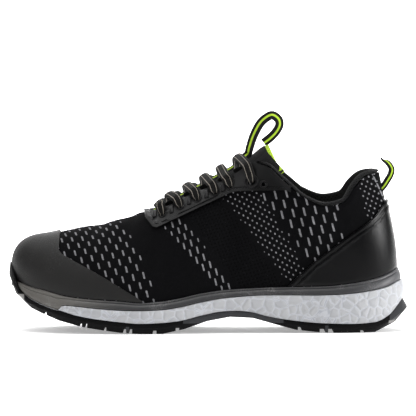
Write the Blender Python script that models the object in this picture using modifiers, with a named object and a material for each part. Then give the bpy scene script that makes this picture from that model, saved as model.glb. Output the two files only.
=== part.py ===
"""Low safety sneaker, left shoe, modelled at its real size in metres.

The toe points along -X, the outer (lateral) side faces -Y and +Z is up. The sole stands on z = 0.
Every form is worked out from the named sizes below and from short tables of sections. A table holds
its lengths as shares of the named size that its heading gives.
"""

import math

import bmesh
import bpy
import numpy as np
from mathutils import Vector

# Driving sizes
SHOE_LENGTH = 0.304
BALL_WIDTH = 0.108
SOLE_HEIGHT = 0.036
COLLAR_HEIGHT = 0.127
TONGUE_LENGTH = 0.114
TOE_RADIUS = 0.042
HEEL_RADIUS = 0.030

# Walls, layers and clearances
GAP = 0.0003
UPPER_WALL = 0.0022
OVERLAY_THICKNESS = 0.0013
EYESTAY_THICKNESS = 0.0019
EYESTAY_RECESS = 0.0008
RIM_LIP = 0.0024
BUMPER_LIP = 0.0011
INSOLE_THICKNESS = 0.0045
INSOLE_DISH = 0.0035
UPPER_SEAT = 0.0009
PAD_CLEARANCE = 0.0009
PAD_LEAN = 0.045
RIM_CLEARANCE = 0.0006
LACE_CLEARANCE = 0.0014
LACE_INSIDE = 0.0032
LACE_STEP = 0.0052
COLLAR_START = 0.650
COLLAR_PAD = 0.0052
COLLAR_PAD_DEPTH = 0.030
COLLAR_ROLL = 0.0031
TONGUE_THICKNESS = 0.0046

# Tread
GROOVE_DEPTH = 0.0026
CHANNEL_WIDTH = 0.0040
RIB_WIDTH = 0.0022

# Laces, tape and loops
EYELET_RADIUS = 0.0024
TOP_EYELET_RADIUS = 0.0030
SPARE_EYELET_RADIUS = 0.0016
EYELET_INSET = 0.0072
TOP_EYELET_INSET = 0.0125
LACE_WIDTH = 0.0074
LACE_THICKNESS = 0.0028
TAPE_WIDTH = 0.0080
TAPE_THICKNESS = 0.0012
TAPE_ROUNDING = 0.35
LOOP_TWIST = math.radians(30)
HEEL_LOOP_WIDTH = 0.0062
HEEL_LOOP_SLANT = 0.565  # share of the half width that the slanted tape takes up along X
HEEL_LOOP_SEAT = 0.86
HEEL_LOOP_FOOT = 0.996

# Outline of the sole: station is a share of the shoe's length from the toe; centre, outer and inner
# half widths are shares of the ball width
OUTLINE = np.array([
    # station, centre, outer, inner
    (0.030, 0.046, 0.240, 0.232),
    (0.090, 0.040, 0.388, 0.350),
    (0.180, 0.030, 0.488, 0.448),
    (0.250, 0.022, 0.514, 0.478),
    (0.330, 0.014, 0.512, 0.462),
    (0.450, 0.004, 0.456, 0.382),
    (0.570, 0.000, 0.400, 0.330),
    (0.700, 0.000, 0.376, 0.348),
    (0.820, 0.000, 0.372, 0.370),
    (0.910, 0.000, 0.322, 0.320),
    (0.970, 0.000, 0.208, 0.206),
])

# Heights along the sole, as shares of the sole height: bottom, outsole edge, line between foam and
# rim, top of the rim, and the foam bed at its edge inside the rim
SOLE_LEVELS = np.array([
    # station, bottom, edge, foam_top, rim_top, bed
    (0.000, 0.780, 0.950, 0.300, 1.030, 0.985),
    (0.014, 0.735, 0.925, 0.320, 1.020, 0.968),
    (0.045, 0.530, 0.725, 0.350, 0.950, 0.860),
    (0.092, 0.368, 0.560, 0.380, 0.868, 0.745),
    (0.127, 0.262, 0.478, 0.478, 0.795, 0.660),
    (0.139, 0.238, 0.452, 0.583, 0.775, 0.645),
    (0.172, 0.162, 0.375, 0.565, 0.740, 0.598),
    (0.225, 0.092, 0.300, 0.520, 0.706, 0.553),
    (0.290, 0.022, 0.238, 0.485, 0.672, 0.518),
    (0.330, 0.000, 0.212, 0.478, 0.640, 0.511),
    (0.390, 0.000, 0.226, 0.496, 0.672, 0.529),
    (0.430, 0.062, 0.262, 0.545, 0.728, 0.578),
    (0.483, 0.220, 0.370, 0.644, 0.828, 0.677),
    (0.535, 0.318, 0.450, 0.722, 0.892, 0.755),
    (0.570, 0.350, 0.464, 0.752, 0.918, 0.785),
    (0.605, 0.325, 0.440, 0.775, 0.934, 0.808),
    (0.645, 0.245, 0.352, 0.788, 0.948, 0.821),
    (0.705, 0.085, 0.262, 0.786, 0.958, 0.820),
    (0.765, 0.022, 0.208, 0.782, 0.968, 0.815),
    (0.812, 0.000, 0.190, 0.790, 0.985, 0.823),
    (0.860, 0.000, 0.182, 0.818, 1.030, 0.851),
    (0.918, 0.000, 0.212, 0.880, 1.110, 0.913),
    (0.955, 0.100, 0.340, 0.945, 1.190, 0.978),
    (0.985, 0.165, 0.560, 1.040, 1.280, 1.073),
    (1.000, 0.190, 0.680, 1.080, 1.330, 1.113),
])

# How far each edge of the sole lies inside the outline, in metres: the outsole's foot, widest line
# and edge, the foam, the rim's foot and head, and the upper's foot
SOLE_INSETS = np.array([
    # station, foot, wide, edge, foam, rim_foot, rim_head, upper
    (0.000, 0.0050, 0.0000, 0.0008, 0.0050, 0.0030, 0.0034, 0.0062),
    (0.050, 0.0045, 0.0006, 0.0010, 0.0030, 0.0024, 0.0036, 0.0064),
    (0.200, 0.0042, 0.0008, 0.0012, 0.0006, 0.0018, 0.0040, 0.0066),
    (0.500, 0.0034, 0.0008, 0.0012, 0.0004, 0.0018, 0.0042, 0.0068),
    (0.800, 0.0036, 0.0006, 0.0012, 0.0006, 0.0020, 0.0044, 0.0070),
    (0.930, 0.0060, 0.0004, 0.0022, 0.0016, 0.0034, 0.0056, 0.0082),
    (1.000, 0.0090, 0.0000, 0.0036, 0.0030, 0.0050, 0.0066, 0.0092),
])

# Width of the lip that stands round the outsole and up the toe, in metres
LIP = np.array([
    # station, width
    (0.000, BUMPER_LIP),
    (0.050, BUMPER_LIP),
    (0.090, RIM_LIP),
    (1.000, RIM_LIP),
])

# Height of the toe bumper's free edge, as shares of the sole height, round the toe
BUMPER = np.array([
    # station, top
    (0.000, 1.430),
    (0.010, 1.220),
    (0.018, 1.020),
    (0.026, 0.840),
    (0.034, 0.790),
])

# Ribs of the upper from toe tip to heel. foot is the station of the rib's foot and head that of its
# head, both as shares of the shoe's length; side is the head's distance from the middle line as a
# share of the ball width and height a share of the collar height. rise and lean place the curve's
# first handle above the foot and outwards, reach and drop the second handle outwards and below the
# head, all as shares of the collar height. lift raises the inner side's head.
RIBS = np.array([
    # foot, head, side, height, rise, lean, reach, drop, lift
    (0.000, 0.102, 0.000, 0.568, 0.180, 0.068, 0.155, -0.006, 0.000),
    (0.030, 0.112, 0.000, 0.574, 0.180, 0.058, 0.160, -0.004, 0.000),
    (0.090, 0.146, 0.000, 0.594, 0.200, 0.030, 0.190, -0.002, 0.000),
    (0.160, 0.186, 0.000, 0.617, 0.210, 0.018, 0.195, 0.000, 0.000),
    (0.240, 0.246, 0.000, 0.641, 0.215, 0.014, 0.190, 0.002, 0.000),
    (0.305, 0.308, 0.000, 0.684, 0.225, 0.012, 0.180, 0.008, 0.000),
    (0.345, 0.334, 0.004, 0.706, 0.235, 0.012, 0.175, 0.012, 0.000),
    (0.372, 0.352, 0.085, 0.710, 0.250, 0.012, 0.130, 0.030, 0.000),
    (0.402, 0.382, 0.132, 0.724, 0.270, 0.012, 0.115, 0.055, 0.004),
    (0.470, 0.460, 0.152, 0.812, 0.310, 0.012, 0.110, 0.075, 0.008),
    (0.540, 0.527, 0.172, 0.878, 0.340, 0.012, 0.100, 0.090, 0.010),
    (0.600, 0.580, 0.196, 0.948, 0.370, 0.014, 0.090, 0.110, 0.012),
    (0.640, 0.612, 0.222, 1.000, 0.390, 0.016, 0.075, 0.140, 0.012),
    (0.680, 0.648, 0.256, 0.984, 0.390, 0.020, 0.055, 0.150, 0.014),
    (0.720, 0.688, 0.292, 0.900, 0.330, 0.024, 0.035, 0.150, 0.022),
    (0.770, 0.742, 0.316, 0.792, 0.270, 0.028, 0.022, 0.140, 0.032),
    (0.820, 0.792, 0.316, 0.748, 0.240, 0.030, 0.020, 0.130, 0.036),
    (0.870, 0.836, 0.292, 0.770, 0.240, 0.028, 0.024, 0.140, 0.034),
    (0.920, 0.866, 0.246, 0.862, 0.250, 0.020, 0.034, 0.170, 0.022),
    (0.968, 0.898, 0.164, 0.930, 0.240, 0.012, 0.040, 0.180, 0.008),
    (0.990, 0.923, 0.092, 0.943, 0.215, 0.000, 0.036, 0.188, 0.003),
    (1.000, 0.929, 0.000, 0.945, 0.210, -0.004, 0.034, 0.190, 0.000),
])

# Side outlines of the overlays: stations as shares of the shoe's length, heights as shares of the
# collar height. They run on past the rim and past the upper's own edge, which trim them.
TOE_GUARD_EDGE = [
    # station, height
    (0.122, 0.640),
    (0.130, 0.572),
    (0.129, 0.491),
    (0.138, 0.466),
    (0.205, 0.382),
    (0.255, 0.315),
    (0.333, 0.201),
    (0.345, 0.176),
]
TOE_GUARD_CLOSING = [(-0.10, 0.10), (-0.10, 0.80)]
COUNTER_EDGE = [
    # station, height
    (0.960, 0.815),
    (0.948, 0.787),
    (0.913, 0.680),
    (0.868, 0.605),
    (0.812, 0.508),
    (0.767, 0.428),
    (0.711, 0.310),
    (0.700, 0.280),
]
COUNTER_CLOSING = [(0.70, 0.10), (1.10, 0.10), (1.10, 0.815)]
EYESTAY_EDGE = [
    # station, height
    (0.340, 0.720),
    (0.343, 0.684),
    (0.362, 0.630),
    (0.372, 0.624),
    (0.416, 0.673),
    (0.464, 0.727),
    (0.543, 0.816),
    (0.573, 0.839),
    (0.638, 0.843),
    (0.692, 0.845),
    (0.705, 0.832),
]
EYESTAY_CLOSING = [(0.70, 1.10), (0.40, 1.10), (0.32, 0.76)]
EYESTAY_RECESS_EDGE = [
    # station, height
    (0.374, 0.655),
    (0.466, 0.757),
    (0.546, 0.846),
    (0.556, 0.890),
    (0.540, 0.880),
    (0.460, 0.800),
    (0.384, 0.712),
]

# Grooves across the tread: front and back edge as shares of the shoe's length, depth as a share of
# the groove depth, and whether a rib stands in it
GROOVES = [
    # front, back, depth, ribbed
    (0.0947, 0.1000, 1.0, False),
    (0.1835, 0.2020, 1.0, True),
    (0.2435, 0.2495, 1.0, False),
    (0.2905, 0.3130, 1.2, True),
    (0.3635, 0.3730, 1.0, False),
    (0.4200, 0.4290, 0.9, False),
    (0.7225, 0.7315, 0.9, False),
    (0.7765, 0.8110, 1.0, True),
    (0.8775, 0.8870, 0.7, False),
]

# Stations of the six laced eyelets of each side, from the toe, and of the spare one
EYELETS = (0.388, 0.434, 0.475, 0.520, 0.558, 0.609)
SPARE_EYELET = 0.638
SPARE_EYELET_INSET = 0.0155

# Middle line of the tongue's outer face: station as a share of the shoe's length, height as a share
# of the collar height; half width and drop of its sides are shares of the ball width
TONGUE = np.array([
    # station, height, half_width, drop
    (0.300, 0.628, 0.140, 0.075),
    (0.345, 0.680, 0.165, 0.105),
    (0.400, 0.756, 0.190, 0.150),
    (0.457, 0.828, 0.200, 0.175),
    (0.520, 0.908, 0.206, 0.195),
    (0.575, 0.984, 0.210, 0.205),
    (0.612, 1.052, 0.214, 0.215),
    (0.640, 1.112, 0.200, 0.220),
])

# Middle lines of the two pull loops, from their seats: distances back along X and up, as shares of
# the tongue's length
TONGUE_LOOP = [
    # back, up
    (0.012, 0.050),
    (0.036, 0.122),
    (0.072, 0.192),
    (0.110, 0.234),
    (0.158, 0.258),
    (0.198, 0.234),
    (0.208, 0.196),
    (0.186, 0.150),
    (0.146, 0.108),
    (0.102, 0.074),
]
HEEL_LOOP = [
    # back, up
    (0.000, 0.000),
    (0.020, 0.032),
    (0.042, 0.070),
    (0.050, 0.110),
    (0.026, 0.150),
    (-0.012, 0.172),
]

COLUMNS = 28
RIB_ROWS = 7
LOOP_TWIST_POINTS = 7
SMALL = 1e-6
RIM_SOFTENING = 0.0008
OUTSOLE_BELLY = 0.62
RIM_BELLY = 0.45
CHANNEL_OFFSET = 0.19
DISH_START = 0.20
DISH_RUN = 0.45
CHANNELS = ((0.13, 0.40), (0.745, 0.905))
TONGUE_ARC = 0.46 * math.pi
TONGUE_EDGE_THINNING = 0.55
TONGUE_LEAN = 0.7
LACE_OVERLAP = 0.62
LOOP_SEAT_STATION = 0.606


def column(table, name_index, at):
    """A table's column read at the given stations by a smooth curve that doesn't overshoot."""
    keys = table[:, 0]
    values = table[:, name_index]
    slopes = np.diff(values) / np.diff(keys)
    tangents = np.zeros(len(keys))
    for i in range(1, len(keys) - 1):
        before, after = slopes[i - 1], slopes[i]
        if before * after > 0:
            tangents[i] = 2 * before * after / (before + after)
    tangents[0], tangents[-1] = slopes[0], slopes[-1]
    at = np.clip(np.asarray(at, float), keys[0], keys[-1])
    i = np.clip(np.searchsorted(keys, at, side="right") - 1, 0, len(keys) - 2)
    width = keys[i + 1] - keys[i]
    u = (at - keys[i]) / width
    return (
        (2 * u**3 - 3 * u**2 + 1) * values[i]
        + (u**3 - 2 * u**2 + u) * width * tangents[i]
        + (3 * u**2 - 2 * u**3) * values[i + 1]
        + (u**3 - u**2) * width * tangents[i + 1]
    )


def along(station):
    """World X of a station given as a share of the shoe's length from the toe."""
    return (np.asarray(station, float) - 0.5) * SHOE_LENGTH


def fullness_table(index):
    """Half widths divided by the round of the ends, so that both ends close in a round arc."""
    stations = OUTLINE[:, 0]
    round_part = np.sqrt(1 - (1 - 2 * stations) ** 2)
    middle = OUTLINE[:, index] * BALL_WIDTH / round_part
    toe = math.sqrt(TOE_RADIUS * SHOE_LENGTH / 2)
    heel = math.sqrt(HEEL_RADIUS * SHOE_LENGTH / 2)
    keys = np.concatenate([[0.0], stations, [1.0]])
    return np.column_stack([keys, np.concatenate([[toe], middle, [heel]])])


OUTER_FULLNESS = fullness_table(2)
INNER_FULLNESS = fullness_table(3)


def middle_line(station):
    """World Y of the shoe's middle line."""
    keys = np.concatenate([[0.0], OUTLINE[:, 0], [1.0]])
    centres = np.concatenate([[OUTLINE[0, 1]], OUTLINE[:, 1], [OUTLINE[-1, 1]]])
    return column(np.column_stack([keys, centres]), 1, station) * BALL_WIDTH


def outline_side(stations, side):
    """Points of one side of the outline; side is -1 for the outer side and 1 for the inner one."""
    fullness = INNER_FULLNESS if side > 0 else OUTER_FULLNESS
    half = column(fullness, 1, stations) * np.sqrt(np.clip(1 - (1 - 2 * stations) ** 2, 0, None))
    return np.column_stack([along(stations), middle_line(stations) + side * half])


def inset_side(stations, side, inset):
    """One side of the outline moved inwards by inset, which may differ from station to station."""
    turn = np.arccos(np.clip(1 - 2 * stations, -1, 1))
    step = 1e-3
    low = (1 - np.cos(np.clip(turn - step, 0, math.pi))) / 2
    high = (1 - np.cos(np.clip(turn + step, 0, math.pi))) / 2
    run = outline_side(high, side) - outline_side(low, side)
    inward = np.column_stack([-run[:, 1], run[:, 0]]) * -side
    inward[stations < SMALL] = (1, 0)
    inward[stations > 1 - SMALL] = (-1, 0)
    inward /= np.linalg.norm(inward, axis=1, keepdims=True)
    return outline_side(stations, side) + inward * np.reshape(inset, (-1, 1))


def round_stations(count, extra=()):
    """Stations close together at toe and heel, where the outline turns, and extra ones between."""
    turns = np.linspace(0, math.pi, count + 1)
    stations = (1 - np.cos(turns)) / 2
    for place in extra:
        stations[np.argmin(abs(stations - place))] = place
    return stations


def ring(stations, inset_of, height_of):
    """A closed ring of points: toe tip, outer side, heel tip, inner side."""
    inset, height = inset_of(stations), height_of(stations)
    outer = np.column_stack([inset_side(stations, -1, inset), height])
    inner = np.column_stack([inset_side(stations, 1, inset), height])
    return np.concatenate([outer, inner[-2:0:-1]])


def level(index):
    return lambda stations: column(SOLE_LEVELS, index, stations) * SOLE_HEIGHT


def inset(index, more=0.0):
    return lambda stations: column(SOLE_INSETS, index, stations) + more


def mesh_object(name, bm, collection):
    """Makes an object of a bmesh and frees it."""
    mesh = bpy.data.meshes.new(name)
    bm.to_mesh(mesh)
    bm.free()
    made = bpy.data.objects.new(name, mesh)
    collection.objects.link(made)
    return made


def add_faces(bm, rows):
    """Quads between neighbouring closed rings of vertices."""
    for low, high in zip(rows, rows[1:]):
        for i in range(len(low)):
            j = (i + 1) % len(low)
            corners = [low[i], low[j], high[j], high[i]]
            bm.faces.new(corners)


def dish_share(x):
    """How much of its full dish the bed has at an X: none at the toe, all of it at the heel."""
    return float(np.clip((x / SHOE_LENGTH + 0.5 - DISH_START) / DISH_RUN, 0, 1))


def add_cap(bm, vertices, across, dish, turned):
    """Closes a ring with strips from its outer to its inner side; dish lowers the middle."""
    half = len(vertices) // 2
    rows = [[vertices[0]]]
    for k in range(1, half):
        start, end = vertices[k].co, vertices[-k].co
        row = [vertices[k]]
        for i in range(1, across):
            share = i / across
            place = start.lerp(end, share)
            place.z -= dish * dish_share(place.x) * (1 - (2 * share - 1) ** 2)
            row.append(bm.verts.new(place))
        rows.append(row + [vertices[-k]])
    rows.append([vertices[half]])
    for low, high in zip(rows, rows[1:]):
        steps = max(len(low), len(high)) - 1
        for i in range(steps):
            corners = [low[min(i, len(low) - 1)], low[min(i + 1, len(low) - 1)]]
            corners += [high[min(i + 1, len(high) - 1)], high[min(i, len(high) - 1)]]
            corners = list(dict.fromkeys(corners))
            bm.faces.new(corners[::-1] if turned else corners)


def ring_solid(name, rings, collection, across=1, dish=(0.0, 0.0), closed_loop=False):
    """A solid of stacked rings, closed by caps or, for a band, by joining the last to the first."""
    bm = bmesh.new()
    rows = [[bm.verts.new(point) for point in points] for points in rings]
    if closed_loop:
        add_faces(bm, rows + [rows[0]])
    else:
        add_faces(bm, rows)
        add_cap(bm, rows[0], across, dish[0], False)
        add_cap(bm, rows[-1], across, dish[1], True)
    bmesh.ops.remove_doubles(bm, verts=bm.verts, dist=2 * SMALL)
    bmesh.ops.recalc_face_normals(bm, faces=bm.faces)
    return mesh_object(name, bm, collection)


def cut(target, cutter, operation="DIFFERENCE"):
    """Adds an exact Boolean to target."""
    modifier = target.modifiers.new(cutter.name, "BOOLEAN")
    modifier.operation = operation
    modifier.solver = "EXACT"
    modifier.object = cutter


def prism(name, outline, depth, collection):
    """A side outline of (x, z) points carried along Y from depth[0] to depth[1]."""
    bm = bmesh.new()
    face = bm.faces.new([bm.verts.new((x, depth[0], z)) for x, z in outline])
    made = bmesh.ops.extrude_face_region(bm, geom=[face])["geom"]
    moved = [item for item in made if isinstance(item, bmesh.types.BMVert)]
    bmesh.ops.translate(bm, verts=moved, vec=(0, depth[1] - depth[0], 0))
    bmesh.ops.recalc_face_normals(bm, faces=bm.faces)
    return mesh_object(name, bm, collection)


def box(name, low, high, collection):
    """A box between two corners."""
    bm = bmesh.new()
    bmesh.ops.create_cube(bm, size=1.0)
    size = [b - a for a, b in zip(low, high)]
    bmesh.ops.scale(bm, vec=size, verts=bm.verts)
    bmesh.ops.translate(bm, vec=[(a + b) / 2 for a, b in zip(low, high)], verts=bm.verts)
    return mesh_object(name, bm, collection)


def behind_lip(at):
    """Inset of the outsole's floor, behind the lip that stands round it and up the toe."""
    return column(SOLE_INSETS, 3, at) + column(LIP, 1, at)


def make_outsole(stations, parts, cutters):
    """Rubber outsole with a toe bumper, a heel kick, grooves across and a channel along the tread."""
    bottom, edge = level(1), level(2)

    def free_edge(at):
        bumper = column(BUMPER, 1, at) * SOLE_HEIGHT
        return np.where(at < BUMPER[-1, 0], np.maximum(bumper, edge(at)), edge(at))

    def widest(at):
        return bottom(at) + OUTSOLE_BELLY * (free_edge(at) - bottom(at))

    outsole = ring_solid(
        "outsole",
        [
            ring(stations, inset(1), bottom),
            ring(stations, inset(2), widest),
            ring(stations, inset(3), free_edge),
            ring(stations, behind_lip, free_edge),
            ring(stations, behind_lip, edge),
        ],
        parts,
    )
    for front, back, depth, ribbed in GROOVES:
        middle = (front + back) / 2
        roof = float(level(1)(np.array([front, middle, back])).max()) + depth * GROOVE_DEPTH
        low = (along(front), -BALL_WIDTH, -SOLE_HEIGHT)
        high = (along(back), BALL_WIDTH, roof)
        pieces = [(low, high)]
        if ribbed:
            rib_front = along(middle) - RIB_WIDTH / 2
            pieces = [
                (low, (rib_front, BALL_WIDTH, roof)),
                ((rib_front + RIB_WIDTH, -BALL_WIDTH, -SOLE_HEIGHT), high),
            ]
        for corner, opposite in pieces:
            cut(outsole, box("groove", corner, opposite, cutters))
    for front, back in CHANNELS:
        for side in (-1, 1):
            place = float(middle_line(np.array([(front + back) / 2]))[0]) + side * CHANNEL_OFFSET * BALL_WIDTH
            low = (along(front), place - CHANNEL_WIDTH / 2, -SOLE_HEIGHT)
            high = (along(back), place + CHANNEL_WIDTH / 2, GROOVE_DEPTH)
            cut(outsole, box("channel", low, high, cutters))
    return outsole


def make_foam(stations, parts, cutters):
    """Foam midsole: its side shows below the rim, and its core rises inside the rim to the bed."""
    edge, line = level(2), level(3)
    foam = ring_solid(
        "midsole_foam",
        [
            ring(stations, behind_lip, lambda at: edge(at) + GAP),
            ring(stations, inset(4, RIM_SOFTENING), lambda at: edge(at) + GAP),
            ring(stations, inset(4), lambda at: (edge(at) + np.maximum(line(at), edge(at))) / 2 + GAP),
            ring(stations, inset(4, RIM_SOFTENING), lambda at: np.maximum(line(at), edge(at)) + 2 * GAP),
            ring(stations, inset(4, RIM_SOFTENING), lambda at: level(5)(at) + SOLE_HEIGHT),
        ],
        parts,
    )
    core = ring_solid(
        "foam_core",
        [
            ring(stations, inset(1, -0.03), lambda at: line(at) - SOLE_HEIGHT),
            ring(stations, inset(1, -0.03), line),
            ring(stations, inset(7), line),
            ring(stations, inset(7), level(5)),
        ],
        cutters,
        across=4,
        dish=(0.0, INSOLE_DISH),
    )
    cut(foam, core, "INTERSECT")
    return foam


def make_rim(stations, parts):
    """Band round the top of the sole that holds the upper's foot."""
    def foot(at):
        return np.maximum(level(3)(at), level(2)(at)) + GAP

    def belly(at):
        return (1 - RIM_BELLY) * foot(at) + RIM_BELLY * level(4)(at)

    return ring_solid(
        "midsole_rim",
        [
            ring(stations, inset(5), foot),
            ring(stations, inset(5, -0.0002), belly),
            ring(stations, inset(6), level(4)),
            ring(stations, inset(7, -RIM_CLEARANCE), level(4)),
            ring(stations, inset(7, -RIM_CLEARANCE), foot),
        ],
        parts,
        closed_loop=True,
    )


def make_insole(stations, parts):
    """Insole on the dished bed, inside the upper's foot."""
    at_wall = inset(7, UPPER_WALL + 2 * GAP)
    return ring_solid(
        "insole",
        [
            ring(stations, at_wall, lambda at: level(5)(at) + GAP),
            ring(stations, at_wall, lambda at: level(5)(at) + GAP + INSOLE_THICKNESS * 0.7),
            ring(stations, inset(7, UPPER_WALL + 0.0020), lambda at: level(5)(at) + GAP + INSOLE_THICKNESS),
        ],
        parts,
        across=4,
        dish=(INSOLE_DISH, INSOLE_DISH),
    )


def rib(foot, side):
    """The Bezier corners of the rib whose foot is at a station of the outline."""
    at = np.array([foot])
    read = [float(column(RIBS, i, at)[0]) for i in range(1, 9)]
    head, half, height, rise, lean, reach, drop, lift = read
    base = inset_side(at, side, column(SOLE_INSETS, 7, at))[0]
    base_z = float(level(4)(at)[0]) + 2 * GAP
    head_y = float(middle_line(np.array([head]))[0]) + side * half * BALL_WIDTH
    lifted = height + (lift if side > 0 else 0.0)
    start = Vector((base[0], base[1], base_z))
    end = Vector((float(along(head)), head_y, lifted * COLLAR_HEIGHT))
    outwards = Vector((start.x - end.x, start.y - end.y, 0)).normalized()
    first = start + Vector((0, 0, rise * COLLAR_HEIGHT)) + outwards * lean * COLLAR_HEIGHT
    second = end + outwards * reach * COLLAR_HEIGHT - Vector((0, 0, drop * COLLAR_HEIGHT))
    return start, first, second, end


def bezier(corners, share):
    """Point of a cubic curve."""
    a, b, c, d = corners
    rest = 1 - share
    return a * rest**3 + b * 3 * rest**2 * share + c * 3 * rest * share**2 + d * share**3


def rib_feet():
    """Stations of the ribs' feet: the table's own rows, with one more between neighbours."""
    keys = RIBS[:, 0]
    turns = np.arccos(1 - 2 * keys)
    between = (turns[1:] + turns[:-1]) / 2
    return (1 - np.cos(np.sort(np.concatenate([turns, between])))) / 2


def upper_grid(bm, rows_from=0):
    """Adds the upper's outer face: ribs round the foot, joined on the ridge ahead of the throat."""
    feet = rib_feet()
    order = [(foot, -1) for foot in feet] + [(foot, 1) for foot in feet[-2:0:-1]]
    columns = []
    for foot, side in order:
        corners = rib(foot, side)
        low = corners[0].copy()
        low.z = float(level(5)(np.array([foot]))[0]) + UPPER_SEAT
        points = [low] + [bezier(corners, i / RIB_ROWS) for i in range(RIB_ROWS + 1)]
        columns.append([bm.verts.new(point) for point in points[rows_from:]])
    count = len(columns)
    for i in range(count):
        left, right = columns[i], columns[(i + 1) % count]
        for k in range(len(left) - 1):
            bm.faces.new([left[k], right[k], right[k + 1], left[k + 1]])
    bmesh.ops.remove_doubles(bm, verts=bm.verts, dist=2 * SMALL)
    bm.normal_update()


def skin(name, offset, thickness, collection, rows_from=0):
    """A wall of the upper's form: it starts offset outside the outer face and thickens from there."""
    bm = bmesh.new()
    upper_grid(bm, rows_from)
    moves = [(vertex, vertex.normal.copy()) for vertex in bm.verts]
    for vertex, normal in moves:
        vertex.co += normal * offset
    made = mesh_object(name, bm, collection)
    wall = made.modifiers.new("wall", "SOLIDIFY")
    wall.thickness = abs(thickness)
    wall.offset = 1 if thickness > 0 else -1
    wall.use_even_offset = True
    wall.use_quality_normals = True
    return made


def side_outline(edge, closing=()):
    """World points of an overlay's side outline: its edge, closed past the shoe's end or top."""
    return [(float(along(s)), h * COLLAR_HEIGHT) for s, h in [*edge, *closing]]


def overlay(name, outline, offset, thickness, side, parts, cutters):
    """A layer on the upper, cut out of a wall of the upper's form by its side outline."""
    made = skin(name, offset, thickness, parts, rows_from=1)
    depth = {0: (-BALL_WIDTH, BALL_WIDTH), -1: (-BALL_WIDTH, 0.0), 1: (0.0, BALL_WIDTH)}[side]
    cut(made, prism(name + "_outline", outline, depth, cutters), "INTERSECT")
    return made


def section_solid(name, sections, collection):
    """A solid lofted through closed sections of equal point counts, with flat ends."""
    bm = bmesh.new()
    rows = [[bm.verts.new(point) for point in section] for section in sections]
    add_faces(bm, rows)
    bm.faces.new(rows[0][::-1])
    bm.faces.new(rows[-1])
    bmesh.ops.triangulate(bm, faces=[face for face in bm.faces if len(face.verts) > 4])
    bmesh.ops.recalc_face_normals(bm, faces=bm.faces)
    return mesh_object(name, bm, collection)


def make_tongue(parts):
    """Padded tongue, arched across, from inside the vamp to above the collar."""
    keys = TONGUE[:, 0]
    stations = np.linspace(keys[0], keys[-1], 13)
    x = along(stations)
    z = column(TONGUE, 1, stations) * COLLAR_HEIGHT
    half = column(TONGUE, 2, stations) * BALL_WIDTH
    drop = column(TONGUE, 3, stations) * BALL_WIDTH
    y = middle_line(stations)
    sections = []
    for i in range(len(stations)):
        before, after = max(i - 1, 0), min(i + 1, len(stations) - 1)
        run = Vector((x[after] - x[before], 0, z[after] - z[before])).normalized()
        inwards = Vector((run.z, 0, -run.x))
        middle = Vector((x[i], y[i], z[i]))
        outer, inner = [], []
        for share in np.linspace(-1, 1, 11):
            turn = share * TONGUE_ARC
            spread = half[i] * math.sin(turn) / math.sin(TONGUE_ARC)
            fall = drop[i] * (1 - math.cos(turn)) / (1 - math.cos(TONGUE_ARC))
            edge_thin = 1 - TONGUE_EDGE_THINNING * share**4
            place = middle + Vector((0, spread, 0)) + inwards * fall
            lean = turn * TONGUE_LEAN
            into = inwards * math.cos(lean) + Vector((0, -math.sin(lean), 0))
            outer.append(place)
            inner.append(place + into * TONGUE_THICKNESS * edge_thin)
        sections.append(outer + inner[::-1])
    return section_solid("tongue", sections, parts)


def tongue_point(station, lift):
    """A point over the tongue's middle line and the direction away from it."""
    at = np.array([station - 0.004, station, station + 0.004])
    x, z = along(at), column(TONGUE, 1, at) * COLLAR_HEIGHT
    run = Vector((x[2] - x[0], 0, z[2] - z[0])).normalized()
    out = Vector((-run.z, 0, run.x))
    y = float(middle_line(at[1:2])[0])
    return Vector((x[1], y, z[1])) + out * lift, out


def ribbon(name, path, outs, width, thickness, parts):
    """A flat tape along a path; outs are the directions that its face looks to."""
    sections = []
    for i, place in enumerate(path):
        run = (path[min(i + 1, len(path) - 1)] - path[max(i - 1, 0)]).normalized()
        out = (outs[i] - run * outs[i].dot(run)).normalized()
        across = run.cross(out)
        profile = [
            (-width / 2, 0.0),
            (-width / 2 + thickness * TAPE_ROUNDING, -thickness / 2),
            (width / 2 - thickness * TAPE_ROUNDING, -thickness / 2),
            (width / 2, 0.0),
            (width / 2 - thickness * TAPE_ROUNDING, thickness / 2),
            (-width / 2 + thickness * TAPE_ROUNDING, thickness / 2),
        ]
        sections.append([place + across * a + out * b for a, b in profile])
    return section_solid(name, sections, parts)


def smooth_path(points, count):
    """Points spread evenly by index on a smooth curve through the route's own points."""
    route = [Vector(point) for point in points]
    route = [route[0] * 2 - route[1]] + route + [route[-1] * 2 - route[-2]]
    found = []
    for share in np.linspace(0, len(points) - 1, count):
        i = min(int(share), len(points) - 2)
        u = share - i
        a, b, c, d = route[i:i + 4]
        found.append(
            (b * 2 + (c - a) * u + (a * 2 - b * 5 + c * 4 - d) * u**2 + (b * 3 - a - c * 3 + d) * u**3) / 2
        )
    return found


def eyelet(station, side, edge_inset):
    """The middle of an eyelet on the upper's outer face and the direction out of it."""
    low, high = RIBS[6, 0], RIBS[13, 0]
    for _ in range(40):
        foot = (low + high) / 2
        corners = rib(foot, side)
        share = 1 - edge_inset / (corners[3] - corners[2]).length / 3
        place = bezier(corners, share)
        if place.x < along(station):
            low = foot
        else:
            high = foot
    down = (bezier(corners, share - 0.02) - place).normalized()
    beside = rib(foot + 0.01, side)
    next_place = bezier(beside, share)
    out = down.cross(next_place - place).normalized()
    return place, out if out.z > 0 else -out


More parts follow.
